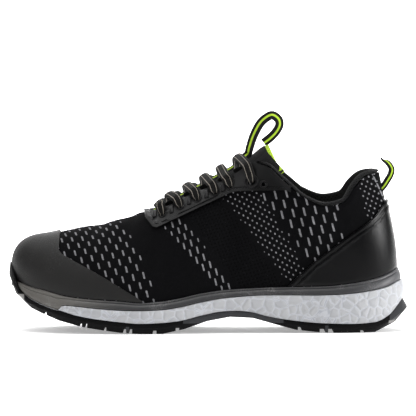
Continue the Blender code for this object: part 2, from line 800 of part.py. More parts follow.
def cut_recess(eyestay, side, cutters):
    """Sinks the row of eyelets into the eyestay inside a raised border."""
    offset = GAP + EYESTAY_THICKNESS - EYESTAY_RECESS
    cutter = skin("recess", offset, 4 * EYESTAY_RECESS, cutters, rows_from=1)
    depth = (-BALL_WIDTH, 0.0) if side < 0 else (0.0, BALL_WIDTH)
    outline = side_outline(EYESTAY_RECESS_EDGE)
    cut(cutter, prism("recess_outline", outline, depth, cutters), "INTERSECT")
    cut(eyestay, cutter)


def make_eyelet_holes(targets, cutters):
    """Cuts the laced eyelets and the spare one through the upper and the eyestays."""
    places = [(s, EYELET_INSET, EYELET_RADIUS) for s in EYELETS[:-1]]
    places.append((EYELETS[-1], TOP_EYELET_INSET, TOP_EYELET_RADIUS))
    places.append((SPARE_EYELET, SPARE_EYELET_INSET, SPARE_EYELET_RADIUS))
    for side in (-1, 1):
        for station, edge_inset, radius in places:
            place, out = eyelet(station, side, edge_inset)
            bm = bmesh.new()
            bmesh.ops.create_cone(
                bm, cap_ends=True, segments=10, radius1=radius, radius2=radius, depth=0.014
            )
            turn = Vector((0, 0, 1)).rotation_difference(out).to_matrix().to_4x4()
            turn.translation = place
            bmesh.ops.transform(bm, matrix=turn, verts=bm.verts)
            punch = mesh_object("eyelet_punch", bm, cutters)
            for target in targets[side]:
                cut(target, punch)


def throat_edge(station, side):
    """Where a lace leaves the throat: below the eyestay's edge, beside the eyelet of a station."""
    place, out = eyelet(station, side, EYELET_INSET)
    edge, _ = eyelet(station, side, SMALL)
    inwards = (edge - place).normalized()
    return edge + inwards * LACE_INSIDE + out * LACE_THICKNESS * 0.1, out


def lace_seat(station, side, edge_inset):
    """Where a lace lies on the eyestay: over its eyelet, or over the throat's edge."""
    place, out = eyelet(station, side, edge_inset)
    return place + out * (EYESTAY_THICKNESS + LACE_CLEARANCE + LACE_THICKNESS / 2), out


def lace_strand(points, lift, name, parts):
    """One flat lace over the tongue, its middle lifted off the tongue's middle line by lift.

    points are places with the direction out of each, before and behind the middle.
    """
    before, behind = points
    middle_x = (before[-1][0].x + behind[0][0].x) / 2
    over, up = tongue_point(middle_x / SHOE_LENGTH + 0.5, lift)
    route = before + [(over, up)] + behind
    count = 3 * (len(route) - 1) + 1
    path = smooth_path([place for place, _ in route], count)
    outs = [out.normalized() for out in smooth_path([out for _, out in route], count)]
    return ribbon(name, path, outs, LACE_WIDTH, LACE_THICKNESS, parts)


def make_laces(parts, cutters):
    """A straight bar at the first eyelets and five crossings above it, each one joined solid."""
    insets = [EYELET_INSET] * 5 + [TOP_EYELET_INSET]
    lift = TAPE_THICKNESS + 4 * GAP + LACE_THICKNESS / 2
    shift = LACE_STEP / SHOE_LENGTH / 2
    bar = [
        [lace_seat(EYELETS[0], side, distance) for distance in (insets[0], SMALL)]
        for side in (-1, 1)
    ]
    made = [lace_strand((bar[0], bar[1][::-1]), lift, "lace_bar_1", parts)]
    for k in range(len(EYELETS) - 1):
        name = f"lace_cross_{k + 1}"
        strands = []
        for side, more in ((-1, 0.0), (1, LACE_OVERLAP * LACE_THICKNESS)):
            start = [throat_edge(EYELETS[k] + 2 * shift, side)]
            end = [
                lace_seat(EYELETS[k + 1] - shift, -side, SMALL),
                lace_seat(EYELETS[k + 1], -side, insets[k + 1]),
            ]
            strands.append(((start, end), lift + more))
        under = lace_strand(*strands[0], name, parts)
        above = lace_strand(*strands[1], name + "_over", cutters)
        cut(under, above, "UNION")
        made.append(under)
    return made


def make_tongue_tape(parts):
    """Webbing along the tongue's middle that ends in a tall pull loop."""
    path, outs = [], []
    for station in np.linspace(RIBS[7, 1], LOOP_SEAT_STATION, 10):
        place, out = tongue_point(station, GAP + TAPE_THICKNESS / 2)
        path.append(place)
        outs.append(out)
    seat = path[-1]
    route = [(seat.x, seat.y, seat.z)]
    for back, up in TONGUE_LOOP:
        route.append((seat.x + back * TONGUE_LENGTH, seat.y, seat.z + up * TONGUE_LENGTH))
    loop = smooth_path(route, 22)[1:]
    for i, place in enumerate(loop):
        run = loop[min(i + 1, len(loop) - 1)] - loop[max(i - 1, 0)]
        flat = Vector((-run.z, 0, run.x)).normalized()
        twist = LOOP_TWIST * min(i / LOOP_TWIST_POINTS, 1.0)
        path.append(place)
        outs.append(flat * math.cos(twist) + Vector((0, -math.sin(twist), 0)))
    return ribbon("tongue_tape", path, outs, TAPE_WIDTH, TAPE_THICKNESS, parts)


def make_heel_loop(parts):
    """Pull loop behind the heel: two strands that lean back and curl forward to their bight."""
    seat = bezier(rib(1.0, 1), HEEL_LOOP_SEAT)
    beside = bezier(rib(HEEL_LOOP_FOOT, 1), HEEL_LOOP_SEAT)
    middle, half = seat.y, beside.y - seat.y
    start_x = beside.x + 2 * GAP + HEEL_LOOP_SLANT * HEEL_LOOP_WIDTH / 2
    strand = []
    for i, (back, up) in enumerate(HEEL_LOOP):
        spread = half * math.sqrt(1 - (i / (len(HEEL_LOOP) - 1)) ** 4)
        strand.append((start_x + back * TONGUE_LENGTH, spread, seat.z + up * TONGUE_LENGTH))
    route = [(x, middle - spread, z) for x, spread, z in strand]
    route += [(x, middle + spread, z) for x, spread, z in strand[-2::-1]]
    path = smooth_path(route, 25)
    outs = [Vector((0.45, (place.y - middle) / half, 0.35)) for place in path]
    return ribbon("heel_loop", path, outs, HEEL_LOOP_WIDTH, TAPE_THICKNESS, parts)


def make_collar_padding(parts):
    """Padded roll round the collar: it sits on the upper's edge and lines it inside."""
    first = COLLAR_START
    feet = rib_feet()
    feet = feet[feet > first - SMALL]
    order = [(foot, -1) for foot in feet] + [(foot, 1) for foot in feet[-2::-1]]
    sections = []
    beyond = 2 * feet[0] - feet[1]
    places = [rib(foot, side)[3] for foot, side in [(beyond, -1)] + order + [(beyond, 1)]]
    for i, (foot, side) in enumerate(order):
        corners = rib(foot, side)
        end = corners[3]
        down = (corners[2] - end).normalized()
        run = places[i + 2] - places[i]
        inwards = down.cross(run).normalized()
        middle = Vector((along(0.80), float(middle_line(np.array([foot]))[0]), end.z))
        if inwards.dot(middle - end) < 0:
            inwards = -inwards
        share = min((foot - first) / (0.77 - first), 1.0)
        pad = COLLAR_PAD * (0.30 + 0.70 * share)
        deep = COLLAR_PAD_DEPTH * (0.45 + 0.55 * share)
        wall = UPPER_WALL + PAD_CLEARANCE
        roll = COLLAR_ROLL
        over = float(i not in (0, len(order) - 1))
        profile = [
            (-3 * GAP, wall * (1 - over)),
            (-GAP - roll * 0.55, wall * (1 - over)),
            (-GAP - roll * 0.92, wall * (1 - 0.55 * over)),
            (-GAP - roll, wall + pad * 0.35),
            (-GAP - roll * 0.65, wall + pad * 0.8),
            (0.15 * deep, wall + pad),
            (0.45 * deep, wall + pad * 0.85),
            (0.80 * deep, wall + pad * 0.40),
            (deep, wall + 0.0008),
            (deep, wall),
            (0.45 * deep, wall),
            (-3 * GAP, wall),
        ]
        curve = []
        for depth, into in profile:
            if depth > 0:
                on_rib = bezier(corners, 1 - depth / (3 * (corners[3] - corners[2]).length))
                curve.append(on_rib + inwards * (into + PAD_LEAN * depth))
            else:
                curve.append(end + down * depth + inwards * into)
        sections.append(curve)
    return section_solid("collar_padding", sections, parts)


def finish(made, colour, roughness):
    """Gives a piece its material and smooth shading."""
    material = bpy.data.materials.new(made.name)
    material.use_nodes = True
    shader = material.node_tree.nodes["Principled BSDF"]
    shader.inputs["Base Color"].default_value = (*colour, 1.0)
    shader.inputs["Roughness"].default_value = roughness
    shader.inputs["Metallic"].default_value = 0.0
    made.data.materials.clear()
    made.data.materials.append(material)
    made.data.shade_smooth()
    made.data.set_sharp_from_angle(angle=math.radians(40))


def main():
    for old in list(bpy.data.objects):
        bpy.data.objects.remove(old, do_unlink=True)
    parts = bpy.data.collections.new("safety_sneaker")
    cutters = bpy.data.collections.new("cutters")
    for collection in (parts, cutters):
        bpy.context.scene.collection.children.link(collection)

    stations = round_stations(COLUMNS, (0.127, 0.139))
    black, dark, grey, pale = (0.012,) * 3, (0.035,) * 3, (0.16,) * 3, (0.62,) * 3
    finish(make_outsole(stations, parts, cutters), black, 0.6)
    finish(make_foam(stations, parts, cutters), pale, 0.55)
    finish(make_rim(stations, parts), grey, 0.5)
    finish(make_insole(stations, parts), dark, 0.85)

    upper = skin("upper", 0.0, -UPPER_WALL, parts)
    guard_outline = side_outline(TOE_GUARD_EDGE, TOE_GUARD_CLOSING)
    guard = overlay("toe_guard", guard_outline, GAP, OVERLAY_THICKNESS, 0, parts, cutters)
    counter_outline = side_outline(COUNTER_EDGE, COUNTER_CLOSING)
    counter = overlay("heel_counter", counter_outline, GAP, OVERLAY_THICKNESS, 0, parts, cutters)
    eyestays = {}
    for side, word in ((-1, "outer"), (1, "inner")):
        outline = side_outline(EYESTAY_EDGE, EYESTAY_CLOSING)
        stay = overlay("eyestay_" + word, outline, GAP, EYESTAY_THICKNESS, side, parts, cutters)
        cut_recess(stay, side, cutters)
        eyestays[side] = stay
    make_eyelet_holes({side: [upper, eyestays[side]] for side in (-1, 1)}, cutters)
    finish(upper, black, 0.8)
    finish(guard, dark, 0.7)
    finish(counter, black, 0.3)
    for stay in eyestays.values():
        finish(stay, black, 0.35)
    finish(make_tongue(parts), black, 0.85)
    finish(make_collar_padding(parts), dark, 0.85)
    finish(make_tongue_tape(parts), black, 0.7)
    finish(make_heel_loop(parts), black, 0.7)
    for lace in make_laces(parts, cutters):
        finish(lace, black, 0.7)
    for cutter in cutters.objects:
        cutter.hide_render = True
        cutter.display_type = "WIRE"
    cutters.hide_render = True


main()
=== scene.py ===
"""Dresses the safety sneaker: knit upper, moulded overlays, padded collar, laces, loops and sole.

The toe points along -X, the outer side faces -Y and the floor is z = 0. Sizes are metres. The
surfaces of the upper follow the shoe's own last: ribs that run from the rim of the sole up to the
throat and the collar, so that knit, overlays and padding share one form.
"""

import logging
import math
from dataclasses import dataclass, field
from enum import Enum
from functools import cache
from typing import Sequence

import bmesh
import bpy
import numpy as np
from mathutils import Matrix, Vector


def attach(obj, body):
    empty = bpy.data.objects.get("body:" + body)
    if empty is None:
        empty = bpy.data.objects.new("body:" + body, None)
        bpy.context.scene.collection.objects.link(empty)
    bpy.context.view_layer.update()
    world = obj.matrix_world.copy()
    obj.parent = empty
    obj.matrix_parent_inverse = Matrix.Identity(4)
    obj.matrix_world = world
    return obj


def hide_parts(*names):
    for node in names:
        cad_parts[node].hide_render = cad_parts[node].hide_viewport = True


log = logging.getLogger("sneaker")
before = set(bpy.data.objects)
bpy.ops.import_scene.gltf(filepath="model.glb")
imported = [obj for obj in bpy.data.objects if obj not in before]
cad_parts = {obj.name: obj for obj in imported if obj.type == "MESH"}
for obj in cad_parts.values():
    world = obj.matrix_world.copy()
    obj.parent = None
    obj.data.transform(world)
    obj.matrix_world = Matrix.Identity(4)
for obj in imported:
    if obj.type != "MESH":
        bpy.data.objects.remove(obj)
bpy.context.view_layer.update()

Array = np.ndarray
Piece = bpy.types.Object
Socket = bpy.types.NodeSocket
Route = tuple[tuple[float, float], ...]
Place = tuple[float, float, float]


class Side(Enum):
    """Side of a left shoe, as the sign of its Y."""

    OUTER = -1
    INNER = 1


def read_curve(keys: Array, values: Array, at: Array) -> Array:
    """Reads a table's column by a smooth curve that doesn't overshoot its rows.

    Args:
        keys: rising stations of the rows.
        values: the column's values.
        at: stations to read.

    Returns:
        The values at those stations.
    """
    slopes = np.diff(values) / np.diff(keys)
    tangents = np.zeros(len(keys))
    product = slopes[:-1] * slopes[1:]
    total = slopes[:-1] + slopes[1:]
    inside = np.zeros(len(product))
    rising = product > 0
    inside[rising] = 2 * product[rising] / total[rising]
    tangents[1:-1] = inside
    tangents[0], tangents[-1] = slopes[0], slopes[-1]
    at = np.clip(np.asarray(at, float), keys[0], keys[-1])
    i = np.clip(np.searchsorted(keys, at, side="right") - 1, 0, len(keys) - 2)
    width = keys[i + 1] - keys[i]
    u = (at - keys[i]) / width
    return (
        (2 * u**3 - 3 * u**2 + 1) * values[i]
        + (u**3 - 2 * u**2 + u) * width * tangents[i]
        + (3 * u**2 - 2 * u**3) * values[i + 1]
        + (u**3 - u**2) * width * tangents[i + 1]
    )


def smooth_step(value: Array) -> Array:
    """Eases a share from 0 to 1."""
    value = np.clip(value, 0.0, 1.0)
    return value * value * (3 - 2 * value)


def directions(points: Array) -> Array:
    """Unit directions along a row of points."""
    run = np.gradient(points, axis=0)
    return run / np.linalg.norm(run, axis=1, keepdims=True)


def lengths(points: Array) -> Array:
    """Length along a row of points, from the first to each."""
    return np.concatenate([[0.0], np.cumsum(np.linalg.norm(np.diff(points, axis=0), axis=1))])


def strip(points: Array, low: float, high: float) -> list[tuple[float, ...]]:
    """The outline between two parallels of a line, at two distances to its left.

    Args:
        points: the line's points, one a row.
        low: distance of the nearer parallel.
        high: distance of the further one.

    Returns:
        The strip's corners.
    """
    run = directions(points)
    across = np.column_stack([-run[:, 1], run[:, 0]])
    return [tuple(point) for point in (*(points + across * low), *(points + across * high)[::-1])]


def smooth_path(points: Sequence[Sequence[float]], count: int) -> Array:
    """Spreads points on a smooth curve through a given route.

    Args:
        points: the route's own points.
        count: how many points to spread evenly by index.

    Returns:
        An array of count points.
    """
    route = np.array([list(point) for point in points], float)
    route = np.vstack([2 * route[0] - route[1], route, 2 * route[-1] - route[-2]])
    found = []
    for share in np.linspace(0, len(points) - 1, count):
        i = min(int(share), len(points) - 2)
        u = share - i
        a, b, c, d = route[i:i + 4]
        found.append(
            (b * 2 + (c - a) * u + (a * 2 - b * 5 + c * 4 - d) * u**2 + (b * 3 - a - c * 3 + d) * u**3)
            / 2
        )
    return np.array(found)


@dataclass
class Last:
    """The form that the shoe is built on, from its outline, its sole levels and its ribs."""

    length: float = 0.304
    ball_width: float = 0.108
    sole_height: float = 0.036
    collar_height: float = 0.127
    toe_radius: float = 0.042
    heel_radius: float = 0.030
    gap: float = 0.0003
    seat: float = 0.0009
    outline: Array = field(default_factory=lambda: np.array([
        # station, centre, outer half width, inner half width
        (0.030, 0.046, 0.240, 0.232),
        (0.090, 0.040, 0.388, 0.350),
        (0.180, 0.030, 0.488, 0.448),
        (0.250, 0.022, 0.514, 0.478),
        (0.330, 0.014, 0.512, 0.462),
        (0.450, 0.004, 0.456, 0.382),
        (0.570, 0.000, 0.400, 0.330),
        (0.700, 0.000, 0.376, 0.348),
        (0.820, 0.000, 0.372, 0.370),
        (0.910, 0.000, 0.322, 0.320),
        (0.970, 0.000, 0.208, 0.206),
    ]))
    levels: Array = field(default_factory=lambda: np.array([
        # station, outsole edge, line between foam and rim, top of the rim, foam bed
        (0.000, 0.950, 0.300, 1.030, 0.985),
        (0.014, 0.925, 0.320, 1.020, 0.968),
        (0.045, 0.725, 0.350, 0.950, 0.860),
        (0.092, 0.560, 0.380, 0.868, 0.745),
        (0.127, 0.478, 0.478, 0.795, 0.660),
        (0.139, 0.452, 0.583, 0.775, 0.645),
        (0.172, 0.375, 0.565, 0.740, 0.598),
        (0.225, 0.300, 0.520, 0.706, 0.553),
        (0.290, 0.238, 0.485, 0.672, 0.518),
        (0.330, 0.212, 0.478, 0.640, 0.511),
        (0.390, 0.226, 0.496, 0.672, 0.529),
        (0.430, 0.262, 0.545, 0.728, 0.578),
        (0.483, 0.370, 0.644, 0.828, 0.677),
        (0.535, 0.450, 0.722, 0.892, 0.755),
        (0.570, 0.464, 0.752, 0.918, 0.785),
        (0.605, 0.440, 0.775, 0.934, 0.808),
        (0.645, 0.352, 0.788, 0.948, 0.821),
        (0.705, 0.262, 0.786, 0.958, 0.820),
        (0.765, 0.208, 0.782, 0.968, 0.815),
        (0.812, 0.190, 0.790, 0.985, 0.823),
        (0.860, 0.182, 0.818, 1.030, 0.851),
        (0.918, 0.212, 0.880, 1.110, 0.913),
        (0.955, 0.340, 0.945, 1.190, 0.978),
        (0.985, 0.560, 1.040, 1.280, 1.073),
        (1.000, 0.680, 1.080, 1.330, 1.113),
    ]))
    insets: Array = field(default_factory=lambda: np.array([
        # station, foam, rim foot, rim head, foot of the upper
        (0.000, 0.0050, 0.0030, 0.0034, 0.0062),
        (0.050, 0.0030, 0.0024, 0.0036, 0.0064),
        (0.200, 0.0006, 0.0018, 0.0040, 0.0066),
        (0.500, 0.0004, 0.0018, 0.0042, 0.0068),
        (0.800, 0.0006, 0.0020, 0.0044, 0.0070),
        (0.930, 0.0016, 0.0034, 0.0056, 0.0082),
        (1.000, 0.0030, 0.0050, 0.0066, 0.0092),
    ]))
    ribs: Array = field(default_factory=lambda: np.array([
        # foot, head, side, height, rise, lean, reach, drop, lift
        (0.000, 0.102, 0.000, 0.568, 0.180, 0.068, 0.155, -0.006, 0.000),
        (0.030, 0.112, 0.000, 0.574, 0.180, 0.058, 0.160, -0.004, 0.000),
        (0.090, 0.146, 0.000, 0.594, 0.200, 0.030, 0.190, -0.002, 0.000),
        (0.160, 0.186, 0.000, 0.617, 0.210, 0.018, 0.195, 0.000, 0.000),
        (0.240, 0.246, 0.000, 0.641, 0.215, 0.014, 0.190, 0.002, 0.000),
        (0.305, 0.308, 0.000, 0.684, 0.225, 0.012, 0.180, 0.008, 0.000),
        (0.345, 0.334, 0.004, 0.706, 0.235, 0.012, 0.175, 0.012, 0.000),
        (0.372, 0.352, 0.085, 0.710, 0.250, 0.012, 0.130, 0.030, 0.000),
        (0.402, 0.382, 0.132, 0.724, 0.270, 0.012, 0.115, 0.055, 0.004),
        (0.470, 0.460, 0.152, 0.812, 0.310, 0.012, 0.110, 0.075, 0.008),
        (0.540, 0.527, 0.172, 0.878, 0.340, 0.012, 0.100, 0.090, 0.010),
        (0.600, 0.580, 0.196, 0.948, 0.370, 0.014, 0.090, 0.110, 0.012),
        (0.640, 0.612, 0.222, 1.000, 0.390, 0.016, 0.075, 0.140, 0.012),
        (0.680, 0.648, 0.256, 0.984, 0.390, 0.020, 0.055, 0.150, 0.014),
        (0.720, 0.688, 0.292, 0.900, 0.330, 0.024, 0.035, 0.150, 0.022),
        (0.770, 0.742, 0.316, 0.792, 0.270, 0.028, 0.022, 0.140, 0.032),
        (0.820, 0.792, 0.316, 0.748, 0.240, 0.030, 0.020, 0.130, 0.036),
        (0.870, 0.836, 0.292, 0.770, 0.240, 0.028, 0.024, 0.140, 0.034),
        (0.920, 0.866, 0.246, 0.862, 0.250, 0.020, 0.034, 0.170, 0.022),
        (0.968, 0.898, 0.164, 0.930, 0.240, 0.012, 0.040, 0.180, 0.008),
        (0.990, 0.923, 0.092, 0.943, 0.215, 0.000, 0.036, 0.188, 0.003),
        (1.000, 0.929, 0.000, 0.945, 0.210, -0.004, 0.034, 0.190, 0.000),
    ]))

    def along(self, station: Array) -> Array:
        """World X of a station, a share of the length from the toe."""
        return (np.asarray(station, float) - 0.5) * self.length

    def level(self, index: int, station: Array) -> Array:
        """Height of one of the sole's levels."""
        return read_curve(self.levels[:, 0], self.levels[:, index], station) * self.sole_height

    def inset(self, index: int, station: Array) -> Array:
        """Distance of one of the sole's edges inside the outline."""
        return read_curve(self.insets[:, 0], self.insets[:, index], station)

    def rib_value(self, index: int, station: Array) -> Array:
        """A column of the ribs at the stations of their feet."""
        return read_curve(self.ribs[:, 0], self.ribs[:, index], station)

    def middle(self, station: Array) -> Array:
        """World Y of the middle line.

        Args:
            station: shares of the length.

        Returns:
            Its Y at each.
        """
        keys = np.concatenate([[0.0], self.outline[:, 0], [1.0]])
        centres = np.concatenate([self.outline[:1, 1], self.outline[:, 1], self.outline[-1:, 1]])
        return read_curve(keys, centres, station) * self.ball_width

    def outline_side(self, station: Array, side: Side) -> Array:
        """Points of one side of the outline.

        Args:
            station: share of the way along the form.
            side: the side to read.

        Returns:
            The place on the outline.
        """
        keys = self.outline[:, 0]
        index = 3 if side is Side.INNER else 2
        fullness = self.outline[:, index] * self.ball_width / np.sqrt(1 - (1 - 2 * keys) ** 2)
        toe = math.sqrt(self.toe_radius * self.length / 2)
        heel = math.sqrt(self.heel_radius * self.length / 2)
        keys = np.concatenate([[0.0], keys, [1.0]])
        fullness = np.concatenate([[toe], fullness, [heel]])
        half = read_curve(keys, fullness, station) * np.sqrt(np.clip(1 - (1 - 2 * station) ** 2, 0, None))
        return np.column_stack([self.along(station), self.middle(station) + side.value * half])

    def inset_side(self, station: Array, side: Side, inset: Array) -> Array:
        """One side of the outline moved inwards.

        Args:
            station: stations of the points.
            side: the side to read.
            inset: how far each point moves inwards.

        Returns:
            Points as rows of X and Y.
        """
        station = np.asarray(station, float)
        turn = np.arccos(np.clip(1 - 2 * station, -1, 1))
        low = (1 - np.cos(np.clip(turn - 1e-3, 0, math.pi))) / 2
        high = (1 - np.cos(np.clip(turn + 1e-3, 0, math.pi))) / 2
        run = self.outline_side(high, side) - self.outline_side(low, side)
        inward = np.column_stack([-run[:, 1], run[:, 0]]) * -side.value
        inward[station < 1e-6] = (1, 0)
        inward[station > 1 - 1e-6] = (-1, 0)
        inward /= np.linalg.norm(inward, axis=1, keepdims=True)
        return self.outline_side(station, side) + inward * np.reshape(inset, (-1, 1))

    def ring(self, station: Array, inset: Array, height: Array) -> Array:
        """A closed ring of points: toe tip, outer side, heel tip, inner side.

        Args:
            station: stations of the points on one side.
            inset: how far each lies inside the outline.
            height: its Z.

        Returns:
            Points as rows of X, Y and Z.
        """
        outer = np.column_stack([self.inset_side(station, Side.OUTER, inset), height])
        inner = np.column_stack([self.inset_side(station, Side.INNER, inset), height])
        return np.concatenate([outer, inner[-2:0:-1]])

    def rib_corners(self, foot: Array, side: Side) -> Array:
        """Corners of the cubic curves of the ribs whose feet are at these stations.

        Args:
            foot: stations of the feet.
            side: the side they stand on.

        Returns:
            An array of ribs by four corners by three coordinates.
        """
        foot = np.asarray(foot, float)
        head, half, height, rise, lean, reach, drop, lift = (
            self.rib_value(i, foot) for i in range(1, 9)
        )
        high = self.collar_height
        base = self.inset_side(foot, side, self.inset(4, foot))
        start = np.column_stack([base, self.level(3, foot) + 2 * self.gap])
        lifted = height + (lift if side is Side.INNER else 0.0)
        head_y = self.middle(head) + side.value * half * self.ball_width
        end = np.column_stack([self.along(head), head_y, lifted * high])
        outwards = (start - end) * np.array([1.0, 1.0, 0.0])
        outwards /= np.linalg.norm(outwards, axis=1, keepdims=True)
        up = np.array([0.0, 0.0, 1.0])
        first = start + up * (rise * high)[:, None] + outwards * (lean * high)[:, None]
        second = end + outwards * (reach * high)[:, None] - up * (drop * high)[:, None]
        return np.stack([start, first, second, end], axis=1)

    @staticmethod
    def bezier(corners: Array, share: Array) -> Array:
        """Points of cubic curves, one row of shares for all of them.

        Args:
            corners: the curve's control points.
            share: share of the way along it.

        Returns:
            The place.
        """
        share = np.asarray(share, float).reshape(1, -1, 1)
        rest = 1 - share
        a, b, c, d = (corners[:, i:i + 1, :] for i in range(4))
        return a * rest**3 + b * 3 * rest**2 * share + c * 3 * rest * share**2 + d * share**3

    def eyelet(self, station: float, side: Side, inset: float) -> tuple[Array, Array]:
        """The middle of an eyelet on the upper's face and the direction out of it.

        Args:
            station: where the eyelet sits along the shoe.
            side: the side it is on.
            inset: how far it lies below the throat's edge.

        Returns:
            Its place and the unit direction out of it.
        """
        low, high = self.ribs[6, 0], self.ribs[13, 0]
        for _ in range(40):
            foot = (low + high) / 2
            corners = self.rib_corners(np.array([foot]), side)
            share = 1 - inset / np.linalg.norm(corners[0, 3] - corners[0, 2]) / 3
            place = self.bezier(corners, [share])[0, 0]
            if place[0] < self.along(station):
                low = foot
            else:
                high = foot
        down = self.bezier(corners, [share - 0.02])[0, 0] - place
        beside = self.bezier(self.rib_corners(np.array([foot + 0.01]), side), [share])[0, 0]
        out = np.cross(down, beside - place)
        out /= np.linalg.norm(out)
        return place, out if out[2] > 0 else -out


LAST = Last()


@dataclass
class Grid:
    """Points of a sheet in rows and columns, with the sheet's own lengths as UV."""

    points: Array
    wrap: Array
    closed: bool

    def normals(self) -> Array:
        """Unit normals away from the sheet's outer face.

        Returns:
            One unit direction for each point.
        """
        across = np.gradient(self.points, axis=1)
        if self.closed:
            run = (np.roll(self.points, -1, axis=0) - np.roll(self.points, 1, axis=0)) / 2
        else:
            run = np.gradient(self.points, axis=0)
        found = np.cross(run, across)
        size = np.linalg.norm(found, axis=2, keepdims=True)
        found = found / np.maximum(size, 1e-12)
        ridge = self.ridge()
        found[ridge, -1] += found[-ridge % len(found), -1]
        return found / np.maximum(np.linalg.norm(found, axis=2, keepdims=True), 1e-12)

    def ridge(self) -> Array:
        """Rows of a closed sheet whose last point meets the other side's last point.

        Returns:
            The points of the ridge.
        """
        if not self.closed:
            return np.zeros(0, int)
        rows = np.arange(len(self.points))
        apart = np.linalg.norm(self.points[:, -1] - self.points[-rows % len(rows), -1], axis=1)
        return rows[apart < 1e-5]

    def moved(self, distance: Array) -> "Grid":
        """The same sheet moved along its normals."""
        distance = np.broadcast_to(distance, self.points.shape[:2])
        return Grid(self.points + self.normals() * distance[..., None], self.wrap, self.closed)


def deselect() -> None:
    """Takes every object out of the selection."""
    for item in list(bpy.context.selected_objects):
        item.select_set(False)


def activate(piece: Piece) -> None:
    """Makes a piece the only selected and the active one.

    Args:
        piece: the mesh object.
    """
    deselect()
    piece.select_set(True)
    bpy.context.view_layer.objects.active = piece


def new_object(name: str, bm: bmesh.types.BMesh) -> Piece:
    """Makes an object of a bmesh and frees it.

    Args:
        name: its name.
        bm: its mesh, freed here.

    Returns:
        The linked object.
    """
    mesh = bpy.data.meshes.new(name)
    bm.to_mesh(mesh)
    bm.free()
    made = bpy.data.objects.new(name, mesh)
    bpy.context.scene.collection.objects.link(made)
    return made


def apply_modifiers(piece: Piece) -> None:
    """Applies every modifier of a piece.

    Args:
        piece: the mesh object.
    """
    activate(piece)
    for modifier in list(piece.modifiers):
        bpy.ops.object.modifier_apply(modifier=modifier.name)


def smooth(piece: Piece, degrees: float = 40.0) -> None:
    """Shades a piece smooth, apart from edges sharper than an angle."""
    activate(piece)
    bpy.ops.object.shade_smooth_by_angle(angle=math.radians(degrees))


def seal(bm: bmesh.types.BMesh) -> None:
    """Merges doubles and turns every face outwards."""
    bmesh.ops.remove_doubles(bm, verts=bm.verts, dist=1e-6)
    bmesh.ops.recalc_face_normals(bm, faces=bm.faces)


def sheet_solid(name: str, outer: Grid, inner: Grid) -> Piece:
    """A wall between two sheets of equal rows and columns, closed round its edges.

    Args:
        name: the piece's name.
        outer: its outer face.
        inner: its inner face.

    Returns:
        The piece, with a UV map of the outer sheet's lengths.
    """
    bm = bmesh.new()
    wrap = bm.loops.layers.uv.new("wrap")
    faces = []
    for sheet, flip in ((outer, False), (inner, True)):
        rows = [[bm.verts.new(point) for point in row] for row in sheet.points]
        faces.append(rows)
        count = len(rows)
        for i in range(count if sheet.closed else count - 1):
            j = (i + 1) % count
            for k in range(len(rows[0]) - 1):
                cells = [(i, k), (j, k), (j, k + 1), (i, k + 1)]
                if flip:
                    cells.reverse()
                face = bm.faces.new([rows[a][b] for a, b in cells])
                for loop, (a, b) in zip(face.loops, cells):
                    loop[wrap].uv = sheet.wrap[a, b]
    out_rows, in_rows = faces
    count = len(out_rows)
    last = len(out_rows[0]) - 1
    ridge = set(outer.ridge())
    for i in range(count if outer.closed else count - 1):
        j = (i + 1) % count
        for k, turned in ((0, False), (last, True)):
            if k == last and i in ridge and j in ridge:
                continue
            cells = [out_rows[i][k], in_rows[i][k], in_rows[j][k], out_rows[j][k]]
            face = bm.faces.new(cells[::-1] if turned else cells)
            for loop, a in zip(face.loops, (i, i, j, j)):
                loop[wrap].uv = outer.wrap[a, k]
    if not outer.closed:
        for i, turned in ((0, True), (count - 1, False)):
            for k in range(last):
                cells = [out_rows[i][k], in_rows[i][k], in_rows[i][k + 1], out_rows[i][k + 1]]
                face = bm.faces.new(cells[::-1] if turned else cells)
                for loop in face.loops:
                    loop[wrap].uv = outer.wrap[i, k]
    seal(bm)
    return new_object(name, bm)


def prism(name: str, outline: Sequence[tuple[float, float]], low: float, high: float) -> Piece:
    """A side outline of X and Z carried along Y, as a cutter.

    Args:
        name: its name.
        outline: corners in the side view.
        low: its end at the lower Y.
        high: its end at the upper Y.

    Returns:
        The prism.
    """
    bm = bmesh.new()
    face = bm.faces.new([bm.verts.new((x, low, z)) for x, z in outline])
    made = bmesh.ops.extrude_face_region(bm, geom=[face])["geom"]
    moved = [item for item in made if isinstance(item, bmesh.types.BMVert)]
    bmesh.ops.translate(bm, verts=moved, vec=(0, high - low, 0))
    bmesh.ops.recalc_face_normals(bm, faces=bm.faces)
    return new_object(name, bm)


def carve(piece: Piece, cutter: Piece, operation: str) -> None:
    """Cuts a piece by a cutter with an exact Boolean, and removes the cutter.

    Args:
        piece: the mesh object.
        cutter: the cutting object, removed after.
        operation: the Boolean's kind.
    """
    modifier = piece.modifiers.new("carve", "BOOLEAN")
    modifier.operation = operation
    modifier.solver = "EXACT"
    modifier.object = cutter
    apply_modifiers(piece)
    bpy.data.objects.remove(cutter, do_unlink=True)


def soften(piece: Piece, width: float, degrees: float = 40.0) -> None:
    """Rounds a piece's sharp edges.

    Args:
        piece: the mesh object.
        width: width of the bevel.
        degrees: least angle of an edge.
    """
    modifier = piece.modifiers.new("soft_edge", "BEVEL")
    modifier.width = width
    modifier.segments = 2
    modifier.limit_method = "ANGLE"
    modifier.angle_limit = math.radians(degrees)
    modifier.use_clamp_overlap = True
    apply_modifiers(piece)


def turned(place: Sequence[float], out: Sequence[float]) -> Matrix:
    """The matrix that stands an upright tool at a place, along a direction.

    Args:
        place: where it stands.
        out: direction of its own Z axis.

    Returns:
        The turn as a matrix.
    """
    turn = Vector((0, 0, 1)).rotation_difference(Vector(out)).to_matrix().to_4x4()
    turn.translation = Vector(place)
    return turn


